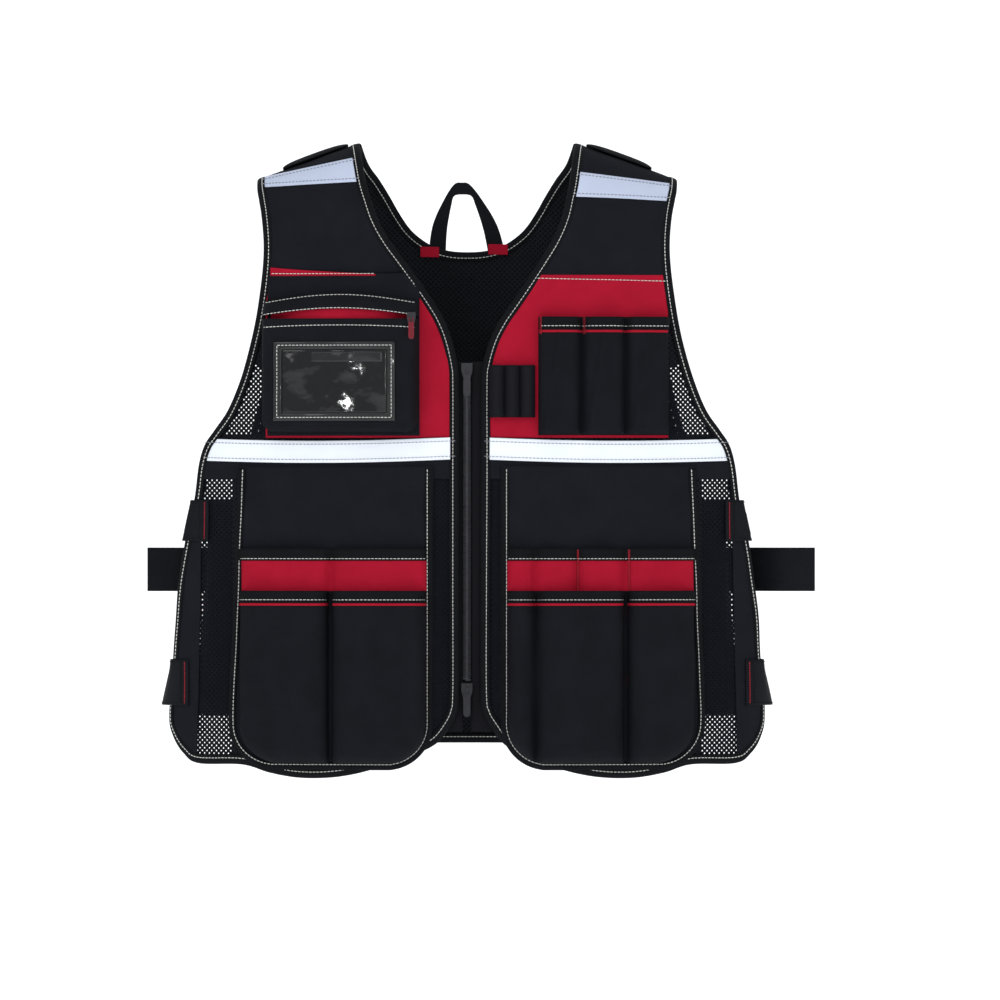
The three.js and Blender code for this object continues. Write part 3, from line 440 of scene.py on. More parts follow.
class Finish:
    """One procedural material, with a shader whose even values are set straight on its sockets."""

    def __init__(self, name, **even):
        self.material = bpy.data.materials.new(name)
        self.material.use_nodes = True
        self.tree = self.material.node_tree
        self.shader = next(n for n in self.tree.nodes if n.type == "BSDF_PRINCIPLED")
        for socket, value in even.items():
            self.shader.inputs[socket.replace("_", " ")].default_value = value

    def node(self, kind, settings=None, inputs=None, output=0):
        made = self.tree.nodes.new(kind)
        for key, value in (settings or {}).items():
            if key == "stops":
                ramp = made.color_ramp.elements
                while len(ramp) < len(value):
                    ramp.new(1.0)
                for element, (place, colour) in zip(ramp, value):
                    element.position, element.color = place, colour
            else:
                setattr(made, key, value)
        for key, value in (inputs or {}).items():
            socket = made.inputs[key]
            if isinstance(value, Wire):
                self.tree.links.new(value.socket, socket)
            else:
                socket.default_value = value
        return Wire(self, made.outputs[output])

    def feed(self, socket, wire):
        self.tree.links.new(wire.socket, self.shader.inputs[socket])

    def places(self):
        """The piece's own cloth map as separate numbers, in metres along and across the cloth."""
        split = self.node("ShaderNodeSeparateXYZ", {},
                          {0: self.node("ShaderNodeUVMap", {"uv_map": "cloth"})})
        return split, Wire(self, split.socket.node.outputs[1])

    def noise(self, scale, detail=3.0, rough=0.55, where=None):
        place = where or self.node("ShaderNodeTexCoord", {}, {}, "Object")
        return self.node("ShaderNodeTexNoise", {}, {"Vector": place, "Scale": scale, "Detail": detail,
                                                    "Roughness": rough})

    def blend(self, share, low, high):
        """A colour between two, by a share."""
        return self.node("ShaderNodeMix", {"data_type": "RGBA"}, {0: share, 6: low, 7: high}, 2)

    def bump(self, height, strength, distance):
        made = self.node("ShaderNodeBump", {},
                         {"Height": height, "Strength": strength, "Distance": distance})
        self.feed("Normal", made)


def linear(red, green, blue):
    """A screen colour from 0 to 255 as the shader's linear one."""
    share = np.array([red, green, blue]) / 255
    value = np.where(share <= 0.04045, share / 12.92, ((share + 0.055) / 1.055) ** 2.4)
    return (*value.tolist(), 1.0)


def woven(name, dark, light, pitch=0.55, rough=0.82, depth=0.00018, fleck=0.35, sheen=0.0, mottle=0.5):
    """Plain weave: threads that pass over and under by turns, with a fleck to each, a slow mottle, and
    painted shade that darkens the hollows between threads.
    """
    made = Finish(name, Sheen_Weight=sheen, Sheen_Roughness=0.5, Specular_IOR_Level=0.07)
    u, v = made.places()
    across, along = u * (1000 / pitch), v * (1000 / pitch)
    cell = (across.floor() + along.floor()) * 0.5
    turn = (cell.fraction() * 2).above(0.5)
    warp = (across * math.pi).sine().size()
    weft = (along * math.pi).sine().size()
    height = warp * turn + weft * (1 - turn)
    spot = made.noise(2400, 2.0)
    slow = made.noise(34, 4.0)
    # The colour is partly random tone (the slow mottle and the fleck) and partly painted shade: the weave's
    # height makes thread crests lighter and the hollows between them darker.
    share = (slow - 0.5) * mottle + (spot - 0.5) * fleck + height * 0.35 + 0.25
    made.feed("Base Color", made.blend(share, dark, light))
    made.feed("Roughness", (slow - 0.5) * 0.12 + rough)
    made.bump(height + spot * 0.6, 0.55, depth)
    return made.material


def build_finishes():
    """Every finish on the vest, by its plain name."""
    made = {
        "black": woven("black_oxford_cloth", linear(11, 12, 16), linear(33, 35, 42)),
        "pouch": woven("black_pouch_cloth", linear(10, 11, 14), linear(31, 32, 38), 0.6),
        "red": woven("red_oxford_cloth", linear(140, 8, 30), linear(190, 30, 56)),
        "binding": woven("black_binding_tape", linear(8, 9, 11), linear(26, 27, 31), 0.9, 0.75),
        "webbing": woven("black_webbing", linear(10, 11, 14), linear(31, 33, 38), 1.5, 0.68, 0.0004),
        "elastic": ribbed("black_elastic", linear(8, 8, 12), linear(32, 32, 39), 1.1),
        "zip_tape": ribbed("black_zip_tape", linear(7, 7, 10), linear(24, 24, 30), 1.3),
        "piping": woven("red_piping", linear(140, 12, 30), linear(190, 34, 54), 0.9),
        "tape": reflective("silver_reflective_tape", linear(224, 231, 246), linear(246, 250, 255)),
        # The shoulder tape is the chest tape again in a darker copy: painted shade for its upward faces,
        # which take the light differently.
        "shoulder": reflective("silver_shoulder_tape", linear(178, 188, 212), linear(206, 216, 238)),
        "mesh": air_mesh(),
        "net": yarn("black_net_yarn", linear(5, 7, 13), linear(20, 23, 32)),
        "thread": yarn("white_stitching", linear(196, 196, 192), linear(236, 236, 232)),
        "grey_thread": yarn("grey_stitching", linear(120, 124, 136), linear(160, 164, 174)),
        "red_thread": yarn("red_stitching", linear(150, 26, 42), linear(190, 54, 66)),
        "dark_thread": yarn("black_stitching", linear(12, 12, 14), linear(30, 30, 34)),
        "metal": metal("black_zip_metal", linear(26, 26, 29), linear(58, 58, 63), 0.32),
        "teeth": metal("black_zip_teeth", linear(24, 24, 27), linear(60, 60, 66), 0.3),
        "red_pull": metal("dark_red_zip_pull", linear(84, 18, 26), linear(128, 30, 42), 0.36),
        "window": vinyl("clear_window_vinyl", linear(4, 4, 6), 0.07),
        "rim": vinyl("dark_window_rim", linear(9, 10, 12), 0.34),
        "slot": vinyl("window_thumb_slot", linear(18, 19, 22), 0.16),
    }
    return made


def ribbed(name, dark, light, pitch):
    """Close ribs that run along the cloth, as in elastic and zip tape, with painted shade in the grooves
    between them.
    """
    made = Finish(name, Specular_IOR_Level=0.1)
    u, v = made.places()
    rib = (v * (1000 * math.pi / pitch)).sine().size()
    knit = (u * (1000 * math.pi / (pitch * 0.7))).sine().size()
    spot = made.noise(1800, 2.0)
    height = rib + knit * 0.35 + spot * 0.3
    # The rib crests are painted lighter and the grooves darker: painted shade, over random tone from the fine
    # noise.
    made.feed("Base Color", made.blend(rib * 0.5 + spot * 0.35, dark, light))
    made.feed("Roughness", spot * 0.12 + 0.72)
    made.bump(height, 0.5, 0.0004)
    return made.material


def yarn(name, dark, light):
    """Twisted yarn: a fine noise for its plies and a slow one for its shade."""
    made = Finish(name, Specular_IOR_Level=0.12)
    ply, slow = made.noise(1500, 2.0), made.noise(60, 3.0)
    made.feed("Base Color", made.blend(ply * 0.6 + slow * 0.4, dark, light))
    made.feed("Roughness", ply * 0.15 + 0.66)
    made.bump(ply, 0.4, 0.0003)
    return made.material


def air_mesh():
    """Spacer mesh: staggered round holes painted near black as their shade, between rounded bars of knit."""
    made = Finish("black_air_mesh", Specular_IOR_Level=0.12)
    u, v = made.places()
    a, b = (u * (1000 * 2 * math.pi / 5.2)).sine(), (v * (1000 * 2 * math.pi / 5.2)).sine()
    hole = made.node("ShaderNodeMapRange", {"interpolation_type": "SMOOTHSTEP"},
                     {"Value": a * b, "From Min": 0.1, "From Max": 0.62, "To Min": 0.0, "To Max": 1.0})
    spot, slow = made.noise(1500, 2.0), made.noise(26, 3.0)
    # The holes take the darkest colour: painted shade in the recesses. The bars carry random tone from the
    # noise.
    share = (1 - hole) * (spot * 0.5 + slow * 0.35)
    made.feed("Base Color", made.blend(share, linear(3, 4, 6), linear(34, 37, 44)))
    made.feed("Roughness", hole * 0.1 + 0.8)
    made.bump((1 - hole) * 1.0 + spot * 0.2, 0.8, 0.0008)
    return made.material


def reflective(name, dark, light):
    """Retroreflective tape: bright silver film on cloth, with fine glass grain and faint creases."""
    made = Finish(name, Specular_IOR_Level=0.35)
    u, v = made.places()
    grain = made.noise(2600, 2.0)
    crease = made.noise(40, 4.0, 0.6)
    across = (u * (1000 * math.pi / 1.1)).sine().size() * (v * (1000 * math.pi / 1.1)).sine().size()
    made.feed("Base Color", made.blend(grain * 0.5 + crease * 0.5, dark, light))
    made.feed("Roughness", crease * 0.25 + 0.34)
    made.bump(crease * 1.2 + grain * 0.25 + across * 0.12, 0.35, 0.0008)
    return made.material


def metal(name, dark, light, rough):
    """Painted die-cast metal, a little worn and uneven."""
    made = Finish(name, Metallic=0.65, Specular_IOR_Level=0.5)
    wear, grain = made.noise(260, 4.0), made.noise(1400, 2.0)
    made.feed("Base Color", made.blend(wear * 0.8, dark, light))
    made.feed("Roughness", wear * 0.25 + (rough - 0.1))
    made.bump(grain, 0.15, 0.0002)
    return made.material


def vinyl(name, colour, rough):
    """Clear sheet over dark cloth: glossy, and wavy enough to break up what it mirrors."""
    made = Finish(name, Coat_Weight=0.35, Specular_IOR_Level=0.35)
    made.shader.inputs["Coat Roughness"].default_value = 0.05
    wave, fine = made.noise(46, 2.0, 0.4), made.noise(240, 2.0)
    light = tuple(min(1.0, 2.1 * channel) for channel in colour[:3]) + (1.0,)
    made.feed("Base Color", made.blend(wave * 0.5, colour, light))
    made.feed("Roughness", fine * 0.08 + rough)
    made.bump(wave * 1.0 + fine * 0.04, 0.5, 0.004)
    return made.material


FINISH = build_finishes()

# The two fronts: lining, panels, net, bindings

def map_of(x, z):
    """The cloth map of a piece, in metres: distance across and height."""
    return np.stack([x, z], -1) / 1000


def panel(front, name, finish, top, bottom, rows, columns, lift, thick, inner=None, outer=None, margin=4.0,
          replaces=(), fold=None, held="hung", rests=()):
    x, z = front.patch(top, bottom, rows, columns, inner, outer, margin)
    extra = 0 if fold is None else fold(np.abs(x), z)
    return cloth(name, lay(x, z, lift + extra), faced(x, z), thick, finish, map_of(x, z), held, rests,
                 replaces)


CHEST_TAPE_DROP, CHEST_TAPE_HEIGHT, CHEST_TAPE_SAG = 272.0, 22.0, 4.0
BAND_BOTTOM = -314.0


def tape_top(x):
    """The chest tape sags a little in the middle."""
    return -CHEST_TAPE_DROP - CHEST_TAPE_SAG * np.sin(np.pi * np.abs(x) / HALF_WIDTH)


def border_inner(z):
    return np.interp(z, [-600, -480, -314], [269, 266, 263])


def build_front(front):
    name, side = front.name, front.side
    black, red = FINISH["black"], FINISH["red"]
    panel(front, f"lining_{name}", FINISH["mesh"], lambda x: ridge(x) - SEAM_DROP, -272.0, 60, 44,
          LINING + 0.5, 1.2,
          margin=5, outer=lambda z: np.interp(z, [-200, -190], [198, 300]),
          replaces=[f"front_panel_{name}"], rests=["shoulder_pad_" + name])
    panel(front, f"lining_lower_{name}", FINISH["mesh"], -270.0, -600.0, 60, 40, LINING + 0.5, 1.2,
          margin=5,
          inner=lambda z: np.where(z > -312, 0, 33.0), outer=lambda z: np.where(z > -312, 300.0, 234.0))
    crease = lambda x, z: 0.5 * waves(x, z, 31 + side, 46, 8, 0.5, 1.8)
    panel(front, f"yoke_{name}", black, lambda x: ridge(x) - SEAM_DROP, -110.5, 60, 66, PANEL, 1.0,
          replaces=[f"yoke_{name}"], fold=crease)
    panel(front, f"chest_panel_{name}", red, -109.5, -273.0, 60, 70, PANEL - 0.1, 1.0,
          outer=lambda z: 200.0 + 0 * z, replaces=[f"chest_panel_{name}"], fold=crease)
    panel(front, f"waist_band_{name}", black, lambda x: tape_top(x) - 2, BAND_BOTTOM, 24, 130, PANEL, 1.0,
          replaces=[f"waist_band_{name}"], fold=crease)
    panel(front, f"chest_tape_{name}", FINISH["tape"], tape_top, lambda x: tape_top(x) - CHEST_TAPE_HEIGHT,
          16, 130, ON_PANEL, 0.8, margin=8.6, replaces=[f"chest_tape_{name}"],
          fold=lambda x, z: crease(x, z) + 0.3)
    if side < 0:
        top = lambda x: 3.5 - (x - 119) * (17.5 / 84)
        low = lambda x: -19 - (x - 112) * (5 / 89)
    else:
        top = lambda x: -10 - (x - 116) * (10 / 83)
        low = lambda x: -34 - (x - 111) * (3 / 88)
    # The shoulder tape takes the darker copy of the reflective tape: painted shade.
    panel(front, f"shoulder_tape_{name}", FINISH["shoulder"], top, low, 26, 60, ON_PANEL, 0.8, margin=8.6,
          inner=lambda z: 100.0 + 0 * z, outer=lambda z: 215.0 + 0 * z, replaces=[f"shoulder_tape_{name}"])
    panel(front, f"side_border_{name}", black, BAND_BOTTOM, -597.0, 120, 16, PANEL, 1.0, inner=border_inner,
          replaces=[f"side_border_{name}"])
    bind_front(front)
    build_net(front)
    for start in (3.6, CHEST_TAPE_HEIGHT - 3.2):
        x = np.linspace(front.edge(np.array(-285.0), False, 3.0), front.edge(np.array(-285.0), True, 3.0),
                        300)
        line = side * x, tape_top(x) - start
        on = crease(x, line[1]) + 0.3
        stitch(lay(*line, ON_PANEL + on), faced(*line), "grey")
    for low_edge in (False, True):
        x = np.linspace(104, 206, 200)
        z = (low(x) + 3.0) if low_edge else (top(x) - 2.6)
        keep = (z < ridge(x) - 0.5) & (x > front.edge(z, False, 5.0)) & (x < front.edge(z, True, 5.0))
        stitch(lay(side * x[keep], z[keep], ON_PANEL), faced(side * x[keep], z[keep]), "grey")


def rail(x, z, face, spacing, lift=0.0):
    """A path on the cloth: its places, normals and sideways directions, cut at even spacing."""
    place = lay(x, z, lift, face)
    up = faced(x, z, face)
    joined = evenly(np.hstack([place, up]), spacing)
    place, up = joined[:, :3], unit(joined[:, 3:])
    along = unit(np.gradient(place, axis=0))
    across = unit(np.cross(up, along))
    return place, unit(np.cross(along, across)), across


# Profile of a folded binding: distance in from the edge and height above the lining's middle.
FOLD = np.array([
    (9.2, 1.7), (9.4, 2.6), (8.4, 3.0), (5.5, 3.15), (2.5, 2.9), (0.6, 2.0), (-0.2, 0.6), (-0.2, -0.8),
                 (0.8, -2.0),
    (3.0, -2.5), (8.4, -2.5), (9.2, -2.1), (9.0, -1.5), (3.0, -1.6), (1.4, -0.6), (1.4, 0.8), (3.0, 2.0)])


def bind(name, x, z, face, inward, replaces, spacing=3.0, inset=6.0):
    """A folded binding along an edge, and the white stitching that holds it."""
    place, up, across = rail(x, z, face, spacing, LINING)
    across = across * inward
    points, faces, start, end = tube(place, across, up, FOLD)
    uv = np.stack([np.repeat(lengths(place), len(FOLD)), np.tile(lengths(FOLD), len(place))], -1) / 1000
    uv = np.vstack([uv, uv[:2]])
    make(name, points, np.concatenate([faces, start, end]), FINISH["binding"], uv, replaces=replaces)
    stitch(place + across * inset + up * 3.1, up)
    stitch(place + across * inset - up * 2.5, -up)


def front_path(front):
    line = curve(front.points, 0.5)
    keep = line[:, 1] < ridge(line[:, 0]) - 0.35
    return line[keep]


def bind_front(front):
    line = front_path(front)
    bind(f"front_binding_{front.name}", front.side * line[:, 0], line[:, 1], 1, front.side,
         [f"front_binding_{front.name}"])


def build_net(front):
    """Diamond net: each hole is a ring of cloth round a rounded opening, with a small wall behind it."""
    side = front.side
    half_x, half_z = 2.45, 2.6
    regions = [
        lambda x, z: (x > 224) & (x < border_inner(z) + 4) & (z < -308) & (z > -604),
        lambda x, z: (x > front.edge(z, False, 5)) & (x < 38) & (z < -308) & (z > -596),
        lambda x, z: (x > 194) & (z < -190) & (z > -276),
    ]
    i, j = np.meshgrid(np.arange(0, 140), np.arange(0, 260))
    x = 2 * half_x * i + half_x * (j % 2)
    z = -180.0 - half_z * j
    keep = np.zeros(x.shape, bool)
    for inside in regions:
        keep |= inside(x, z)
    keep &= (x > front.edge(z, False, 3.5)) & (x < front.edge(z, True, 3.5))
    x, z = x[keep][:, None], z[keep][:, None]
    turn = np.arange(8) * np.pi / 4
    diamond = 1 / (np.abs(np.cos(turn)) + np.abs(np.sin(turn)))
    rings = []
    for reach, roundness, lift in ((1.0, 0.0, 1.0), (0.76, 0.25, 1.6), (0.46, 0.6, 1.35), (0.37, 0.8, 0.4)):
        radius = diamond * (1 - roundness) + roundness * 0.86
        px = x + half_x * reach * radius * np.cos(turn)
        pz = z + half_z * reach * radius * np.sin(turn)
        rings.append(lay(side * px, pz, lift))
    points = np.stack(rings, 1)
    count = len(points)
    one = quads(4, 8, ring=True)
    faces = (one[None] + 32 * np.arange(count)[:, None, None]).reshape(-1, 4)
    if side > 0:
        faces = faces[:, ::-1]
    make(f"net_{front.name}", points, faces, FINISH["net"], closed=False)


for one_front in FRONTS:
    build_front(one_front)

# The back

def back_top(x):
    """The back's neck edge in the middle, and the shoulder seam further out."""
    neck = curve(BACK_EDGE[:SHOULDER_AT + 1] * [HALF_WIDTH, -LENGTH], 1.0)
    return np.minimum(np.interp(np.abs(x), neck[:, 0], neck[:, 1] - 4), ridge(x) - SEAM_DROP)


# The back's own numbers: where its cloth ends, and how its grid settles on even rows.
BACK_LOW, SETTLING_STEPS, SETTLING = -577.5, 40, 0.35


def build_back():
    side_line = curve(BACK_EDGE[SHOULDER_AT + 1:-1] * [HALF_WIDTH, -LENGTH], 1.0)
    order = np.argsort(side_line[:, 1])
    heights, outs = side_line[order, 1], side_line[order, 0] - 4
    u, v = np.meshgrid(np.linspace(-1, 1, 104), np.linspace(0, 1, 110))
    z = -20 * (1 - v) + BACK_LOW * v
    for _ in range(SETTLING_STEPS):
        x = u * np.interp(z, heights, outs)
        start, end = over(x, back_top(x), -1)[1], over(x, BACK_LOW + 0 * x, -1)[1]
        z = (1 - SETTLING) * z + SETTLING * fallen(x, start + (end - start) * v)
    crease = 0.6 * waves(x, z, 51, 60, 8)
    cloth("back_panel", lay(x, z, 2.0 + crease, -1), faced(x, z, -1), 1.8, FINISH["mesh"], map_of(x, z),
          "hung", ["shoulder_pad_r", "shoulder_pad_l"], ["back_panel"])
    neck = curve(np.vstack([(BACK_EDGE[1:SHOULDER_AT + 1] * [-HALF_WIDTH, -LENGTH])[::-1],
                            BACK_EDGE[:SHOULDER_AT + 1] * [HALF_WIDTH, -LENGTH]]), 0.5)
    neck = neck[neck[:, 1] < ridge(neck[:, 0]) - SEAM_DROP]
    bind("back_neck_binding", neck[:, 0], neck[:, 1], -1, 1, ["back_neck_binding"])
    half = BACK_EDGE[SHOULDER_AT + 1:] * [HALF_WIDTH, -LENGTH]
    round_it = curve(np.vstack([half, (half[:-1] * [-1, 1])[::-1]]), 0.5)
    round_it = round_it[round_it[:, 1] < ridge(round_it[:, 0]) - SEAM_DROP]
    bind("back_side_binding", round_it[:, 0], round_it[:, 1], -1, 1, ["back_side_binding"])


build_back()

# Pouches

def rise(x, z, x0, x1, z1, radii, pinches, depth, falloff, gap=3.4):
    """A filled sail: flat at the seams and full within falloff of them, by a quarter circle."""
    left, right, bottom = x - x0, x1 - x, z - z1
    inside = np.minimum(np.minimum(left, right), bottom)
    for side, radius in ((left, radii[0]), (right, radii[1])):
        corner = radius - np.hypot(radius - side, radius - bottom)
        inside = np.where((side < radius) & (bottom < radius), np.minimum(inside, corner), inside)
    for line in pinches:
        inside = np.minimum(inside, np.maximum(np.abs(x - line) - gap / 2, 0))
    share = np.clip(inside / falloff, 0, 1)
    return depth * np.sqrt(1 - (1 - share) ** 2)


def pouch_grid(x0, x1, z0, z1, radii, step):
    """A grid between the mouth and the rounded bottom: each column stops where the outline does."""
    columns = max(int((x1 - x0) / step), 8)
    rows = max(int((z0 - z1) / step), 8)
    u, v = np.meshgrid(np.linspace(0, 1, columns), np.linspace(0, 1, rows))
    x = x0 + (x1 - x0) * u
    low = np.full_like(x, z1)
    left, right = x - x0, x1 - x
    for side, radius in ((left, radii[0]), (right, radii[1])):
        if radius > 0:
            arc = radius - np.sqrt(np.clip(radius ** 2 - (radius - side) ** 2, 0, None))
            low = np.where(side < radius, z1 + arc, low)
    return x, z0 + (low - z0) * v, u, v


def pouch(name, front, near, far, top, bottom, corners, pinches, seat, depth, falloff, finish,
          replaces, rests, thick=1.3, step=2.6, fold=None):
    """A pouch on one front between two distances from the centre. Gives the lift of its surface."""
    side = front.side
    x0, x1 = (near, far) if side > 0 else (-far, -near)
    radii = corners if side > 0 else corners[::-1]
    lines = [side * line for line in pinches]
    x, z, _, _ = pouch_grid(x0, x1, top, bottom, radii, step)

    def lift(px, pz):
        full = rise(px, pz, x0, x1, bottom, radii, lines, depth, falloff)
        extra = 0 if fold is None else fold(np.abs(px), pz) * np.clip(full / depth, 0, 1)
        return seat + full + extra
    cloth(name, lay(x, z, lift(x, z) + thick), faced(x, z), thick, finish, map_of(x, z), "hung", rests,
          replaces)
    return lift


def strip(name, side, near, far, top, bottom, lift, thick, finish, replaces=(), rests=(), step=2.0,
          bulge=0.0):
    """A narrow strip across a pouch, such as its hem: it follows the pouch's own lift."""
    columns, rows = max(int((far - near) / step), 6), 6
    x, v = np.meshgrid(side * np.linspace(near, far, columns), np.linspace(0, 1, rows))
    z = top + (bottom - top) * v
    puff = bulge * np.sqrt(np.clip(1 - (2 * v - 1) ** 2, 0, 1))
    return cloth(name, lay(x, z, lift(x, z) + thick + puff), faced(x, z), thick, finish, map_of(x, z),
                 "stretched", rests, replaces)


def seam_line(side, near, far, height, lift, above, kind="white", step=1.0):
    x = np.arange(near, far, step)
    z = np.full_like(x, height) if not callable(height) else height(x)
    stitch(lay(side * x, z, lift(side * x, z) + above), faced(side * x, z), kind)


PIPING = np.stack([np.cos(np.arange(8) * np.pi / 4), np.sin(np.arange(8) * np.pi / 4)], -1)


def piping(name, side, near, far, height, lift, thick=1.3, finish="piping"):
    """A thin round cord of cloth laid across a pouch."""
    x = np.arange(near, far, 2.0)
    place, up, across = rail_on(side * x, np.full_like(x, height), lift)
    points, faces, start, end = tube(place, across, up, PIPING * thick)
    uv = np.zeros((len(points), 2))
    uv[:-2] = np.stack([np.repeat(lengths(place), 8), np.tile(np.arange(8.0) * thick, len(place))],
                       -1) / 1000
    return make(name, points, np.concatenate([faces, start, end]), FINISH[finish], uv)


def rail_on(x, z, lift, spacing=2.0):
    place = lay(x, z, lift(x, z))
    up = faced(x, z)
    joined = evenly(np.hstack([place, up]), spacing)
    place, up = joined[:, :3], unit(joined[:, 3:])
    along = unit(np.gradient(place, axis=0))
    across = unit(np.cross(up, along))
    return place, up, across


DIVIDE = {"r": dict(main=135, slots=[], tacks=[]), "l": dict(main=157, slots=[68], tacks=[110])}


def build_lower_pocket(front):
    name, side = front.name, front.side
    divide = DIVIDE[name]
    red, black = FINISH["red"], FINISH["pouch"]
    backing_outer = lambda z: np.interp(z, [-604, -301], [236.3, 227])
    columns, rows = 72, 96
    u, v = np.meshgrid(np.linspace(0, 1, columns), np.linspace(0, 1, rows))
    inner, outer, bottom, corner, seam = 34, 236.3, -604.0, 46, -301
    out = inner + (outer - inner) * u
    from_corner = np.clip(corner - np.minimum(out - inner, outer - out), 0, corner)
    low = bottom + corner - np.sqrt(np.clip(corner ** 2 - from_corner ** 2, 0, None))
    z = seam + (low - seam) * v
    x = side * (inner + (backing_outer(z) - inner) * u)
    fold = 0.9 * waves(x, z, 71 + side, 60, 8, 1.2, 1.4) * smooth(-384, -330, z)
    cloth(f"pocket_back_{name}", lay(x, z, 4.8 + fold), faced(x, z), 1.0, FINISH["black"], map_of(x, z),
          "hung", [f"lining_{name}"], [f"pocket_back_{name}"])
    first, last = 40.0, 227 - 3.4
    gather = lambda ax, az: 0.8 * waves(ax, az, 81 + side, 26, 7, 0.0, 0.7) * smooth(-440, -400, az)
    red_lift = pouch(f"pocket_red_{name}", front, first, last, -385.0, -588.0, [40, 40],
                     [divide["main"], *divide["slots"], *divide["tacks"]], RED_SEAT, 7, 15, red,
                     [f"pocket_red_{name}"], [f"pocket_back_{name}"], fold=gather)
    over_red = lambda px, pz: red_lift(px, pz) + 1.3
    strip(f"pocket_hem_{name}", side, first, 226.0, -383.6, -395.6, over_red, 0.9, FINISH["binding"],
          [f"pocket_hem_{name}"], [f"pocket_red_{name}"], bulge=0.5)
    seam_line(side, first + 1, 225, -393.6, over_red, 1.5)
    top = -426.0
    groups = [("inner", first, divide["main"] - 1.7, [40, 0], divide["slots"]),
              ("outer", divide["main"] + 1.7, last, [0, 40], [])]
    for half, near, far, corners, slots in groups:
        sag = lambda ax, az: (2.3 * waves(ax, az, 91 + len(half) + side, 58, 7, 0.12, 0.7)
                              + 1.0 * waves(ax, az, 95 + side, 24, 8, 0.3, 1.3))
        lift = pouch(f"pocket_front_{half}_{name}", front, near, far, top, -598.0, corners, slots,
                     FRONT_SEAT, 16, 15,
                     black, [f"pocket_front_{half}_{name}"], [f"pocket_red_{name}"],
                     fold=sag)
        above = lambda px, pz, lift=lift: lift(px, pz) + 1.3
        strip(f"front_hem_{half}_{name}", side, near, far, top + 0.4, top - 10.5, above, 0.9,
              FINISH["binding"], rests=[f"pocket_front_{half}_{name}"], bulge=0.5)
        seam_line(side, near + 1, far - 1, top - 8.6, above, 1.5)
        piping(f"pocket_piping_{half}_{name}", side, near, far, top - 13.2, above)
    main = divide["main"]
    strip(f"pocket_seam_{name}", side, main - 2.3, main + 2.3, top + 0.3, -596.0, lambda px,
          pz: FRONT_SEAT + 0.4 + 0 * px, 0.9, black, rests=[f"pocket_red_{name}"], step=0.9)
    if name == "l":
        for out in (divide["tacks"][0], main + 3):
            tack(front, out, -384.5, -427.0, over_red)
    sew_pocket_edge(front)


def tack(front, out, top, bottom, lift, kind="red"):
    """A dense bar of thread down a pouch's dividing seam."""
    z = np.linspace(top, bottom, 40)
    for shift in (-0.5, 0.5):
        x = front.side * (out + shift) + 0 * z
        stitch(lay(x, z, lift(x, z) + 1.5), faced(x, z), kind, 1.9, 1.7, 0.42)


def sew_pocket_edge(front):
    """The binding round the big pocket's panel, and its white stitching."""
    side = front.side
    corner = np.linspace(0, np.pi / 2, 12)
    inner_corner = np.stack([34 + 46 - 46 * np.cos(corner), -558 - 46 * np.sin(corner)], -1)
    outer_corner = np.stack([236 - 46 + 46 * np.sin(corner), -558 - 46 * np.cos(corner)], -1)
    line = np.vstack([[(34, -304), (34, -380), (34, -470), (34, -540)], inner_corner, [(134, -604)],
                      outer_corner, [(236, -540), (233, -470), (230, -380), (227, -304)]])
    line = curve(line, 1.0)
    place, up, across = rail_on(side * line[:, 0], line[:, 1], lambda x, z: 5.0 + 0 * x)
    across = across * side
    fold = np.array([(7.6, -0.2), (7.8, 0.7), (6.8, 1.1), (4.0, 1.3), (1.4, 1.0), (0.0, 0.2), (-0.2, -1.2),
                     (0.2, -2.6), (2.0, -2.8), (2.4, -1.6), (3.0, -0.4)])
    points, faces, start, end = tube(place, across, up, fold)
    uv = np.zeros((len(points), 2))
    uv[:-2] = np.stack([np.repeat(lengths(place), len(fold)), np.tile(lengths(fold), len(place))],
                       -1) / 1000
    make(f"pocket_binding_{front.name}", points, np.concatenate([faces, start, end]), FINISH["binding"], uv)
    stitch(place + across * 5.4 + up * 1.3, up)


for one_front in FRONTS:
    build_lower_pocket(one_front)

# The wearer's right chest: patch, zipped bag, hood and card window

BAG = dict(inner=48.0, outer=201.0, mouth=-155.0, bottom=-268.0, depth=24.0, falloff=9.0, corner=12.0)


def bag_lift(x, z):
    full = rise(x, z, -BAG["outer"], -BAG["inner"], BAG["bottom"], [12, 12], [], BAG["depth"],
                BAG["falloff"])
    folds = 0.9 * waves(x, z, 111, 44, 8, 0.4, 2.0) * np.clip(full / 24, 0, 1)
    return BAG_SEAT + full + folds


def hood_grid(extra, rows=26, columns=90):
    """The flap over the bag's zip: it springs from an arch on the chest and ends above the bag's mouth."""
    u, v = np.meshgrid(np.linspace(0, 1, columns), np.linspace(0, 1, rows))
    x = -BAG["outer"] + (BAG["outer"] - BAG["inner"]) * u
    top = -128 - (1 - np.sin(np.pi * np.clip(u, 0.04, 0.96))) * 9
    low = BAG["mouth"] + 2.6 + 7.4 * np.sin(np.pi * u)
    z = top + (low - top) * v
    ends = np.clip(np.minimum(x + BAG["outer"], -BAG["inner"] - x) / BAG["falloff"], 0, 1)
    full = (BAG["depth"] - 6 * (1 - v)) * np.sqrt(1 - (1 - v) ** 2) * np.sqrt(1 - (1 - ends) ** 2)
    fold = 0.6 * waves(x, z, 121, 40, 7, 0.3, 1.6) * v
    return x, z, BAG_SEAT + full + fold + extra


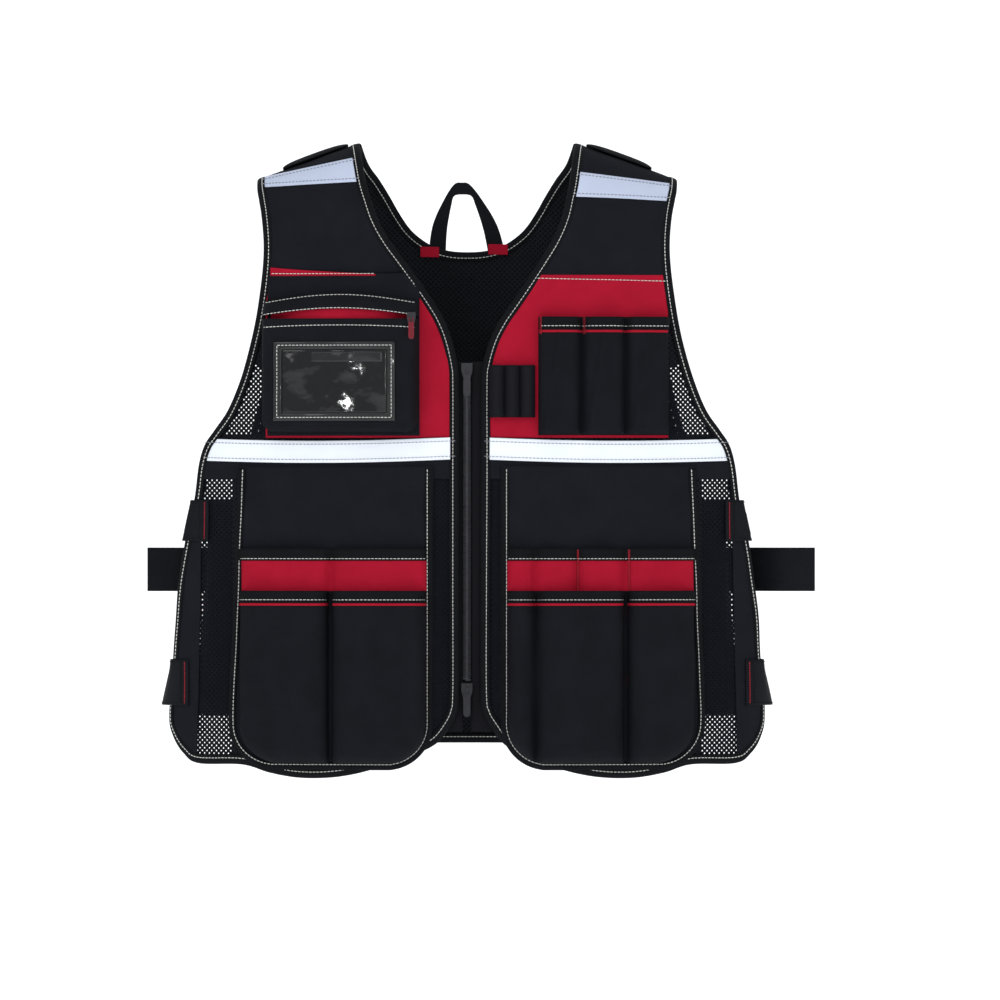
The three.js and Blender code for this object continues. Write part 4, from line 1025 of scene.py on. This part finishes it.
def build_chest_bag():
    front = FRONTS[0]
    panel(front, "chest_patch", FINISH["black"], -109.0, -271.0, 60, 60, 4.8, 1.0,
          inner=lambda z: 47.0 + 0 * z, outer=lambda z: 198.0 + 0 * z, replaces=["chest_patch"])
    x, z, _, _ = pouch_grid(-BAG["outer"], -BAG["inner"], BAG["mouth"], BAG["bottom"], [12, 12], 2.0)
    cloth("zip_bag", lay(x, z, bag_lift(x, z) + 1.3), faced(x, z), 1.3, FINISH["pouch"], map_of(x, z),
          "hung", ["chest_patch"], ["zip_bag"])
    x, z, lift = hood_grid(1.3)
    cloth("bag_hood", lay(x, z, lift), faced(x, z), 1.3, FINISH["pouch"], map_of(x, z), "stretched",
          ["chest_patch"], ["bag_hood"])
    face = BAG_SEAT + 24 + 1.3 + 0.4
    u, v = np.meshgrid(np.linspace(0, 1, 70), np.linspace(0, 1, 12))
    x, z = -192.0 + 134 * u, -140.0 - 20 * v
    cloth("bag_lining",
          lay(x, z, BAG_SEAT + 21.5 * np.sin(np.pi * np.clip(u, 0.02, 0.98)) ** 0.3 + 1.5 * v), faced(x, z),
          0.8, FINISH["red"], map_of(x, z), "stretched", ["chest_patch"])
    flat = lambda px, pz: face + 0.9 * waves(px, pz, 111, 44, 8, 0.4, 2.0)
    build_window(flat)
    on_bag = lambda px, pz: bag_lift(px, pz) + 1.3
    seam_line(-1, BAG["inner"] + 3, BAG["outer"] - 4,
              lambda ax: BAG["mouth"] - 6.5 - 2.4 * ((ax - 124) / 76) ** 2, on_bag, 0.25)
    hood_x, hood_z, hood_up = hood_grid(1.3)
    for row in (4, 24):
        place = lay(hood_x[row], hood_z[row], hood_up[row] + 0.2)
        stitch(place[2:-2], faced(hood_x[row], hood_z[row])[2:-2])


def build_window(face):
    """The card window: a rim of dark vinyl round a clear pane, a thumb slot and a line of white stitching."""
    near, far, top, low, rim = 70.0, 186.0, -178.0, -257.0, 8.0

    def ring(margin, lift, count=24):
        side = np.linspace(0, 1, count, endpoint=False)
        x0, x1, z0, z1 = -far + margin, -near - margin, top - margin, low + margin
        x = np.concatenate([x0 + (x1 - x0) * side, x1 + 0 * side, x1 + (x0 - x1) * side, x0 + 0 * side])
        z = np.concatenate([z0 + 0 * side, z0 + (z1 - z0) * side, z1 + 0 * side, z1 + (z0 - z1) * side])
        return lay(x, z, face(x, z) + lift)
    steps = [(0.4, -0.6), (0.0, 0.2), (0.3, 0.9), (1.2, 1.1), (rim - 1.4, 1.1), (rim - 0.4, 0.8),
             (rim, 0.1), (rim, -0.6)]
    rings = np.stack([ring(margin, lift) for margin, lift in steps] + [ring(0.4, -0.6)])
    count = rings.shape[1]
    faces = quads(len(rings), count, ring=True)
    uv = np.zeros((rings.size // 3, 2))
    make("card_frame", rings, faces, FINISH["rim"], uv, replaces=["card_frame"])
    u, v = np.meshgrid(np.linspace(0, 1, 60), np.linspace(0, 1, 40))
    x = -far + rim + (far - near - 2 * rim) * u
    z = top - rim + (low - top + 2 * rim) * v
    bow = 0.5 * waves(x, z, 131, 34, 6)
    outer = lay(x, z, face(x, z) + 0.35 + bow * np.sin(np.pi * u) * np.sin(np.pi * v))
    normal = faced(x, z)
    points, quad = slab(outer, outer - 0.5 * normal)
    make("card_window", points, quad, FINISH["window"], np.concatenate([map_of(x, z).reshape(-1, 2)] * 2),
         replaces=["card_window"])
    u, v = np.meshgrid(np.linspace(0, 1, 30), np.linspace(0, 1, 10))
    x, z = -150.0 + 68 * u, -188.5 - 9.5 * v
    outer = lay(x, z, face(x, z) + 1.25 + 0.15 * np.sin(np.pi * v))
    points, quad = slab(outer, outer - 0.4 * faced(x, z))
    make("thumb_slot", points, quad, FINISH["slot"], np.concatenate([map_of(x, z).reshape(-1, 2)] * 2))
    line = ring(3.6, 1.1, 60)
    line = np.vstack([line, line[:1]])
    ups = np.repeat(faced(np.array([-128.0]), np.array([-218.0])), len(line), 0)
    stitch(line, ups)


build_chest_bag()


def build_chest_seams():
    """The red welt under the right yoke, which tapers to a seam, and the stitching under both yokes."""
    u, v = np.meshgrid(np.linspace(0, 1, 80), np.linspace(0, 1, 8))
    x = -195.0 + 104 * u
    z = -103.2 - 6.6 * u ** 0.8 + (6.6 * u ** 0.8 - 8.4) * v
    cloth("red_welt", lay(x, z, 5.0 + 0.5 * np.sin(np.pi * v)), faced(x, z), 0.9, FINISH["red"],
          map_of(x, z), "folded", ["yoke_r"])
    line = np.linspace(-194, -92, 120)
    low = np.full_like(line, -109.4)
    stitch(lay(line, low, 5.7), faced(line, low))
    line = np.linspace(70, 198, 160)
    z = -114.0 - 2.5 * (line - 70) / 128
    stitch(lay(line, z, PANEL + 0.1 + 0.5 * waves(line, z, 32, 46, 8, 0.5, 1.8)), faced(line, z))


build_chest_seams()

# The wearer's left chest: tool slots and elastic loops

def build_tool_slots():
    front = FRONTS[1]
    seams = np.linspace(71, 200, 4)

    def pleat(ax, az):
        lean = (az + 170) / 102 * 15
        fold = 0
        for seam in seams[:-1]:
            past = ax - (seam + 20 + lean)
            fold = fold + np.exp(-np.where(past < 0, past / 1.3, past / 7.5) ** 2)
        return 2.6 * fold * smooth(-150, -176, az) + 0.8 * waves(ax, az, 141, 30, 7, 0.1, 0.8)
    lift = pouch("tool_slots", front, 71.0, 200.0, -153.0, -270.5, [0, 0], list(seams[1:-1]), 3.8, 11, 9,
                 FINISH["pouch"], ["tool_slots"], ["chest_panel_l"], fold=pleat, thick=1.0,
                 step=1.6)
    above = lambda px, pz: lift(px, pz) + 1.0
    strip("tool_slots_hem", 1, 71.0, 201.0, -152.6, -163.9, above, 0.9, FINISH["binding"],
          ["tool_slots_hem"], ["tool_slots"], bulge=0.5)
    seam_line(1, 73, 199, -161.8, above, 1.5)
    piping("slots_piping", 1, 71.5, 199.5, -167.0, above, 1.3)
    for out in (73.0, 116.0):
        tack(front, out, -152.5, -170.0, above)
    columns = 120
    u, v = np.meshgrid(np.linspace(0, 1, columns), np.linspace(0, 1, 24))
    x = 22 + 46 * u
    z = -200.8 - 52.1 * v
    swell = 8 * np.abs(np.sin(np.pi * 3 * u)) ** 0.6
    for seam in (22 + 46 / 3, 22 + 92 / 3):
        for shift in (-0.6, 0.6):
            down = np.linspace(-202, -252, 60)
            stitch(lay(seam + shift + 0 * down, down, 5.0 + 0 * down), faced(seam + shift + 0 * down, down),
                   "dark")
    cloth("elastic_loops", lay(x, z, 3.8 + swell + 1), faced(x, z), 1.0, FINISH["elastic"], map_of(x, z),
          "stretched", ["chest_panel_l"], ["elastic_loops"])


build_tool_slots()

# Zip, sides, straps, loop and pads

def build_zip():
    for front in FRONTS:
        side = front.side
        u, v = np.meshgrid(np.linspace(0, 1, 12), np.linspace(0, 1, 150))
        x, z = side * (4.3 + 21.7 * u), -197 - 369 * v
        cloth(f"zip_tape_{front.name}", lay(x, z, -1.6), faced(x, z), 1.0, FINISH["zip_tape"],
              map_of(z, x), "stretched", [f"lining_{front.name}"], [f"zip_tape_{front.name}"])
    one = tooth()
    size = len(one)
    places, count = [], int((515 - 216) / 2.3)
    drops = 216 + np.arange(count) * 2.3
    for side in (-1, 1):
        z = -drops - (1.15 if side > 0 else 0)
        middle = lay(np.zeros_like(z), z, -0.6)
        shape = one * [side, 1, 1]
        places.append((middle[:, None, :] + shape[None]).reshape(-1, 3))
    points = np.concatenate(places)
    faces = (quads(3, 8, ring=True)[None] + size * np.arange(2 * count)[:, None, None]).reshape(-1, 4)
    caps = []
    for start in (0, 16):
        ring = np.arange(8) + start
        caps += [ring[[0, 1, 2, 3]], ring[[0, 3, 4, 7]], ring[[4, 5, 6, 7]]]
    caps = (np.array(caps)[None] + size * np.arange(2 * count)[:, None, None]).reshape(-1, 4)
    make("zip_chain", points, np.concatenate([faces, caps]), FINISH["teeth"], np.zeros((len(points), 2)),
         replaces=["zip_chain"], closed=False, flat=True)
    for node in ("zip_slider_top", "zip_slider_bottom", "bag_slider", "zip_pull_top", "zip_pull_bottom",
                 "bag_pull"):
        held = frame["nodes"][node]
        held.data.materials.clear()
        held.data.materials.append(FINISH["red_pull" if node == "bag_pull" else "metal"])


def tooth():
    """One tooth of the zip: an eight-sided block from the tape's edge to just past the middle."""
    plan = np.array([(4.0, -0.7), (4.0, 0.7), (1.2, 0.75), (0.2, 0.95), (-1.2, 0.6), (-1.2, -0.6),
                     (0.2, -0.95), (1.2, -0.75)])
    rings = []
    for depth, shrink in ((-1.9, 0.8), (-1.4, 1.0), (1.2, 1.0)):
        rings.append(np.stack([plan[:, 0] * shrink, np.full(8, depth), plan[:, 1] * shrink], -1))
    return np.concatenate(rings)


def on_form(side, start, end, drop, lift, count):
    """Points in plan of a layer over a run of angles at one drop, measured on the wearer's left."""
    angle = np.linspace(start, end, count)
    x = form(angle, np.ones(count))[:, 0]
    z = np.full(count, -drop)
    down = over(x, z)[1]
    hang = lift + sway(side * x, z, 1 if start > 0 else -1)
    return (form(angle, down) + outward(angle, down) * hang[:, None])[:, :2]


def bow(start, first, second, end, count):
    """A cubic curve from start to end that sets off towards first and arrives from second."""
    t = np.linspace(0, 1, count)[:, None]
    return start * (1 - t) ** 3 + 3 * first * t * (1 - t) ** 2 + 3 * second * t ** 2 * (1 - t) + end * t ** 3


def side_path(side, drop, lift, begin, back, edge, reach, count):
    """A band in plan: on the front as far as edge, across the open side in one bow, and on to the back."""
    run = on_form(side, begin, 0, drop, lift, 160)
    front = run[run[:, 0] < edge]
    behind = on_form(side, back, back - 9, drop, lift, 12)
    start, end = front[-1], behind[0]
    first = np.array([max(reach, edge + 3.5), start[1] + 0.2 * (end[1] - start[1])])
    second = np.array([max(reach, end[0] + 3.5), end[1] * 0.85])
    line = np.vstack([front, bow(start, first, second, end, 40)[1:-1], behind])
    far = lengths(line)
    return np.stack([np.interp(np.linspace(0, far[-1], count), far, line[:, k]) for k in (0, 1)], -1)


def band(name, side, paths, drops, thick, finish, replaces, rests, ruffle=0.0):
    """A band of cloth on edge, from its path in plan at each drop. Its rows are those paths."""
    plan = np.stack(paths)
    along = unit(np.gradient(plan, axis=1))
    normal = np.stack([side * along[..., 1], -along[..., 0], 0 * along[..., 0]], -1)
    place = np.stack([side * plan[..., 0], plan[..., 1], np.broadcast_to(-drops[:, None], plan.shape[:2])],
                     -1)
    far = np.broadcast_to(lengths(plan[len(plan) // 2])[None], plan.shape[:2])
    place = place + normal * (thick / 2 + ruffle * np.sin(far / 2.4))[..., None]
    uv = np.stack([far, place[..., 2]], -1) / 1000
    piece = cloth(name, place, normal, thick, finish, uv, "stretched", rests, replaces)
    return piece, place, normal


def build_sides():
    for front in FRONTS:
        side, name = front.side, front.name
        drops = np.linspace(370, 550, 32)
        wing_edge = form(np.array(36.0), np.array(1.0))[0]
        paths = [side_path(side, drop, -2.1, 45, -54, wing_edge, 262 + 24 * (drop - 370) / 180,
                           90) for drop in drops]
        band(f"side_wing_{name}", side, paths, drops, 1.0, FINISH["elastic"], [f"side_wing_{name}"],
             [f"lining_{name}", "back_panel"], 0.35)
        for label, top, height, begin, reach in (("upper", 335, 41, 36, 262), ("lower", 495, 46, 27, 314)):
            drops = np.linspace(top, top + height, 22)
            paths = []
            for drop in drops:
                edge = float(front.edge(np.array(-drop), True, 0.0)) + 4
                out = edge + (reach - edge) * (drop - top) / height
                paths.append(side_path(side, drop, 4.5, begin, -45, edge, out, 90))
            _, place, normal = band(f"strap_{label}_{name}", side, paths, drops, 1.4, FINISH["webbing"],
                                    [f"strap_{label}_{name}"], [f"side_border_{name}"])
            for row in (1, -2):
                stitch(place[row][3:-3] + normal[row][3:-3] * 0.05, normal[row][3:-3], "dark")
            for column in (2, 5):
                stitch(place[1:-1, column] + normal[1:-1, column] * 0.05, normal[1:-1, column],
                       "red" if column == 2 else "dark", 2.4, 1.9)
        build_tab(front)


def build_tab(front):
    """The long tab: webbing from the back's edge that bends out and ends in a flat, folded and sewn tip."""
    side, name = front.side, front.name
    drops = np.linspace(383, 427, 20)
    tip, flat, standing = (351.0 if side > 0 else 323.0), 34.0, 17.0
    lying = on_form(side, -54, -45, 405, 4.5, 10)
    start, end = lying[-1], np.array([tip - flat, standing])
    away = unit(start - lying[0])
    curved = bow(start, start + away * (end[0] - start[0]) / 2,
                 np.array([start[0] + 0.6 * (end[0] - start[0]), standing + 4]), end, 30)
    plan = evenly(np.vstack([lying, curved[1:], [[tip, standing]]]), 2.0)
    plan = plan[::-1]
    wave = 1.1 * np.sin(np.linspace(0, 5, len(plan))) * np.clip(np.linspace(-0.4, 1.6, len(plan)), 0, 1)
    paths = [plan + [0, 1] * (wave * (0.6 + 0.4 * np.sin(drop / 9)))[:, None] for drop in drops]
    _, place, normal = band(f"strap_tab_{name}", side, paths, drops, 1.4, FINISH["webbing"],
                            [f"strap_tab_{name}"], ["back_panel"])
    fold = place[:, :7] + normal[:, :7] * 1.2
    uv = np.stack([np.broadcast_to(np.arange(7) * 2.0, fold.shape[:2]), fold[..., 2]], -1) / 1000
    cloth(f"tab_fold_{name}", fold, normal[:, :7], 1.1, FINISH["webbing"], uv, "folded",
          [f"strap_tab_{name}"])
    stitch(fold[1:-1, 5] + normal[1:-1, 5] * 0.05, normal[1:-1, 5], "dark", 2.6, 2.0)


def build_hanging_loop():
    """A band of webbing bent into an arch on the neck's edge, drawn in the front view."""
    height, lean = 80.0, -6.0
    inner = curve(np.array([(22.5, 0), (18.5, 32), (12.0, 58), (8.6, 66.5), (0, 68), (-8.6, 66.5),
                            (-12.0, 58), (-18.5, 32), (-22.5, 0)]), 1.0)
    outer = curve(np.array([(40.5, 0), (33.0, 36), (18.5, 64), (7.5, 78.6), (0, 80), (-7.5, 78.6),
                            (-18.5, 64), (-33.0, 36), (-40.5, 0)]), 1.0)
    columns = 70
    near = np.stack([np.interp(np.linspace(0, 1, columns), np.linspace(0, 1, len(inner)),
                               inner[:, k]) for k in (0, 1)], -1)
    far = np.stack([np.interp(np.linspace(0, 1, columns), np.linspace(0, 1, len(outer)),
                              outer[:, k]) for k in (0, 1)], -1)
    u = np.linspace(0, 1, 10)[:, None, None]
    plan = near[None] * (1 - u) + far[None] * u
    plan = plan + [1, 0] * (lean * plan[..., 1:] / height)
    y = 84.0 + 0.5 * np.sin(np.pi * u[..., 0]) + 0 * plan[..., 0]
    place = np.stack([plan[..., 0], y, plan[..., 1] - 91.9], -1)
    normal = np.broadcast_to(np.array([0.0, -1.0, 0.0]), place.shape)
    along = lengths(far)[-1]
    uv = np.stack([np.broadcast_to(np.linspace(0, along, columns)[None], plan.shape[:2]),
                   np.broadcast_to(18 * u[..., 0], plan.shape[:2])], -1) / 1000
    cloth("hanging_loop", place, normal, 1.4, FINISH["webbing"], uv, "hung", ["back_neck_binding"],
          ["hanging_loop"])
    for name, side in (("r", -1), ("l", 1)):
        u, v = np.meshgrid(np.linspace(0, 1, 16), np.linspace(0, 1, 12))
        x = -48 + 19 * u if side < 0 else 21 + 20 * u
        z = (-77.2 if side < 0 else -74.6) - 10.5 * v - 0.4 * u
        cloth(f"loop_tab_{name}", lay(x, z, -1.5, -1), faced(x, z, -1), 1.0, FINISH["red"], map_of(x, z),
              "stretched", ["back_neck_binding"], [f"loop_tab_{name}"])


# The pads' swelling: chosen by trial for how far it moves the cloth, not measured on any filling.
PRESSURE, VERTEX_MASS, STIFFNESS, FURTHEST = 2500, 0.001, 3, 0.004
# The pads' plan: distances out, degrees over the shoulder from the front, and lifts, in millimetres.
PAD = dict(inner=118, width=66, front=8, sweep=70, seat=5.0, rim=1.2, puff=3.6)


def swell_under_pressure(piece, held_still, cap, frames=20):
    """Blows a pad up in a short simulation and keeps the shape: no point moves over cap, in metres."""
    seam = piece.vertex_groups.new(name="seam")
    seam.add(held_still, 1.0, "REPLACE")
    modifier = piece.modifiers.new("swell", "CLOTH")
    modifier.settings.use_pressure = True
    modifier.settings.uniform_pressure_force = PRESSURE
    modifier.settings.mass = VERTEX_MASS
    modifier.settings.tension_stiffness = STIFFNESS
    modifier.settings.compression_stiffness = STIFFNESS
    modifier.settings.effector_weights.gravity = 0
    modifier.settings.vertex_group_mass = "seam"
    modifier.point_cache.frame_end = frames
    for moment in range(1, frames + 1):
        bpy.context.scene.frame_set(moment)
    shape = piece.evaluated_get(bpy.context.evaluated_depsgraph_get()).data
    rest, blown = np.empty(3 * len(piece.data.vertices)), np.empty(3 * len(piece.data.vertices))
    piece.data.vertices.foreach_get("co", rest)
    shape.vertices.foreach_get("co", blown)
    move = (blown - rest).reshape(-1, 3)
    reach = np.linalg.norm(move, axis=1, keepdims=True)
    move = move * np.minimum(1, cap / np.maximum(reach, 1e-9))
    piece.modifiers.remove(modifier)
    piece.vertex_groups.clear()
    piece.data.vertices.foreach_set("co", rest + move.ravel())
    piece.data.update()
    bpy.context.scene.frame_set(1)


def build_pads():
    """Shoulder pads: a lens over the shoulder seam, its outer cloth swollen by a short simulation."""
    for front in FRONTS:
        side, name = front.side, front.name
        u, v = np.meshgrid(np.linspace(0, 1, 26), np.linspace(0, 1, 30))
        x = side * (PAD["inner"] + PAD["width"] * u)
        angle = -PAD["front"] + PAD["sweep"] * v
        around = np.where(angle < 0, over(x, 0 * x, 1)[0], over(x, 0 * x, -1)[0])
        down = np.abs(angle) / 90
        swell = PAD["rim"] + PAD["puff"] * np.sin(np.pi * u) ** 0.5 * np.sin(np.pi * v) ** 0.5
        normal = outward(around, down)
        place = form(around, down)
        outer = place + normal * (PAD["seat"] + swell)[..., None]
        inner = place + normal * PAD["seat"]
        points, faces = slab(outer, inner)
        piece = make(f"shoulder_pad_{name}", points, faces, FINISH["binding"],
                     np.concatenate([map_of(x, angle).reshape(-1, 2)] * 2),
                     replaces=[f"shoulder_pad_{name}"])
        edge = (u == 0) | (u == 1) | (v == 0) | (v == 1)
        held = np.concatenate([np.flatnonzero(edge.ravel()), np.arange(u.size) + u.size])
        swell_under_pressure(piece, held.tolist(), FURTHEST)
        soft = piece.modifiers.new("soft", "SUBSURF")
        soft.levels = 1
        soft.render_levels = 1


build_zip()
build_sides()
build_hanging_loop()
build_pads()
sew("white_stitching", "white", FINISH["thread"])
sew("grey_stitching", "grey", FINISH["grey_thread"])
sew("black_stitching", "dark", FINISH["dark_thread"])
sew("red_stitching", "red", FINISH["red_thread"])

MADE = [piece.name for piece in bpy.context.scene.objects]
for piece, across, along, area, held, rests in SHEETS:
    [rest for rest in rests if rest in MADE]

# Floor, light and camera

def build_stage():
    """A pale floor that sweeps up behind into a wall, three soft lights and a small one for the glint."""
    t = np.linspace(0, np.pi / 2, 24)
    low, far, radius = -0.92, 12.0, 3.0
    profile = np.vstack([[(-11.0, low)],
                         np.stack([far - radius + radius * np.sin(t), low + radius - radius * np.cos(t)],
                                  -1),
                         [(far, 9.0)]])
    across = np.linspace(-14, 14, 12)
    grid = np.stack([np.broadcast_to(across[None], (len(profile), 12)),
                     np.broadcast_to(profile[:, :1], (len(profile), 12)),
                     np.broadcast_to(profile[:, 1:], (len(profile), 12))], -1)
    mesh = bpy.data.meshes.new("floor")
    mesh.from_pydata(grid.reshape(-1, 3).tolist(), [], quads(len(profile), 12).tolist())
    mesh.polygons.foreach_set("use_smooth", np.ones(len(mesh.polygons), bool))
    floor = bpy.data.objects.new("floor", mesh)
    bpy.context.scene.collection.objects.link(floor)
    pale = Finish("pale_floor", Roughness=0.9, Specular_IOR_Level=0.1, Emission_Strength=0.55)
    shade = pale.blend(pale.noise(3.0), (0.90, 0.905, 0.91, 1), (0.93, 0.935, 0.94, 1))
    pale.feed("Base Color", shade)
    pale.feed("Emission Color", shade)
    mesh.materials.append(pale.material)
    world = bpy.data.worlds.new("studio")
    world.use_nodes = True
    background = world.node_tree.nodes["Background"]
    background.inputs[0].default_value = (0.96, 0.98, 1.0, 1)
    background.inputs[1].default_value = 0.55
    bpy.context.scene.world = world
    lights = [("key", (-1.7, -2.6, 1.4), 1.5, 26), ("fill", (2.1, -2.5, 0.5), 1.8, 12),
              ("top", (0.2, -0.7, 2.0), 1.5, 7), ("glint", (0.25, -3.2, 0.1), 0.1, 6)]
    for name, place, size, power in lights:
        lamp = bpy.data.lights.new(name, "AREA")
        lamp.shape, lamp.size, lamp.energy = "SQUARE", size, power
        light = bpy.data.objects.new(name, lamp)
        bpy.context.scene.collection.objects.link(light)
        light.location = place
        aim = np.array([0.0, 0.0, -0.3])
        way = aim - np.array(place)
        flat = math.hypot(way[0], way[1])
        light.rotation_euler = (math.atan2(flat, -way[2]), 0, math.atan2(way[1], way[0]) - math.pi / 2)


def build_camera():
    lens = bpy.data.cameras.new("camera")
    lens.sensor_fit = "HORIZONTAL"
    lens.sensor_width = 36.0
    lens.lens = 285.8
    camera = bpy.data.objects.new("camera", lens)
    camera.location = (0.033, -8.0, -0.335)
    camera.rotation_euler = (math.pi / 2, 0, 0)
    bpy.context.scene.collection.objects.link(camera)
    bpy.context.scene.camera = camera


build_stage()
build_camera()
bpy.context.scene.view_settings.view_transform = "Standard"
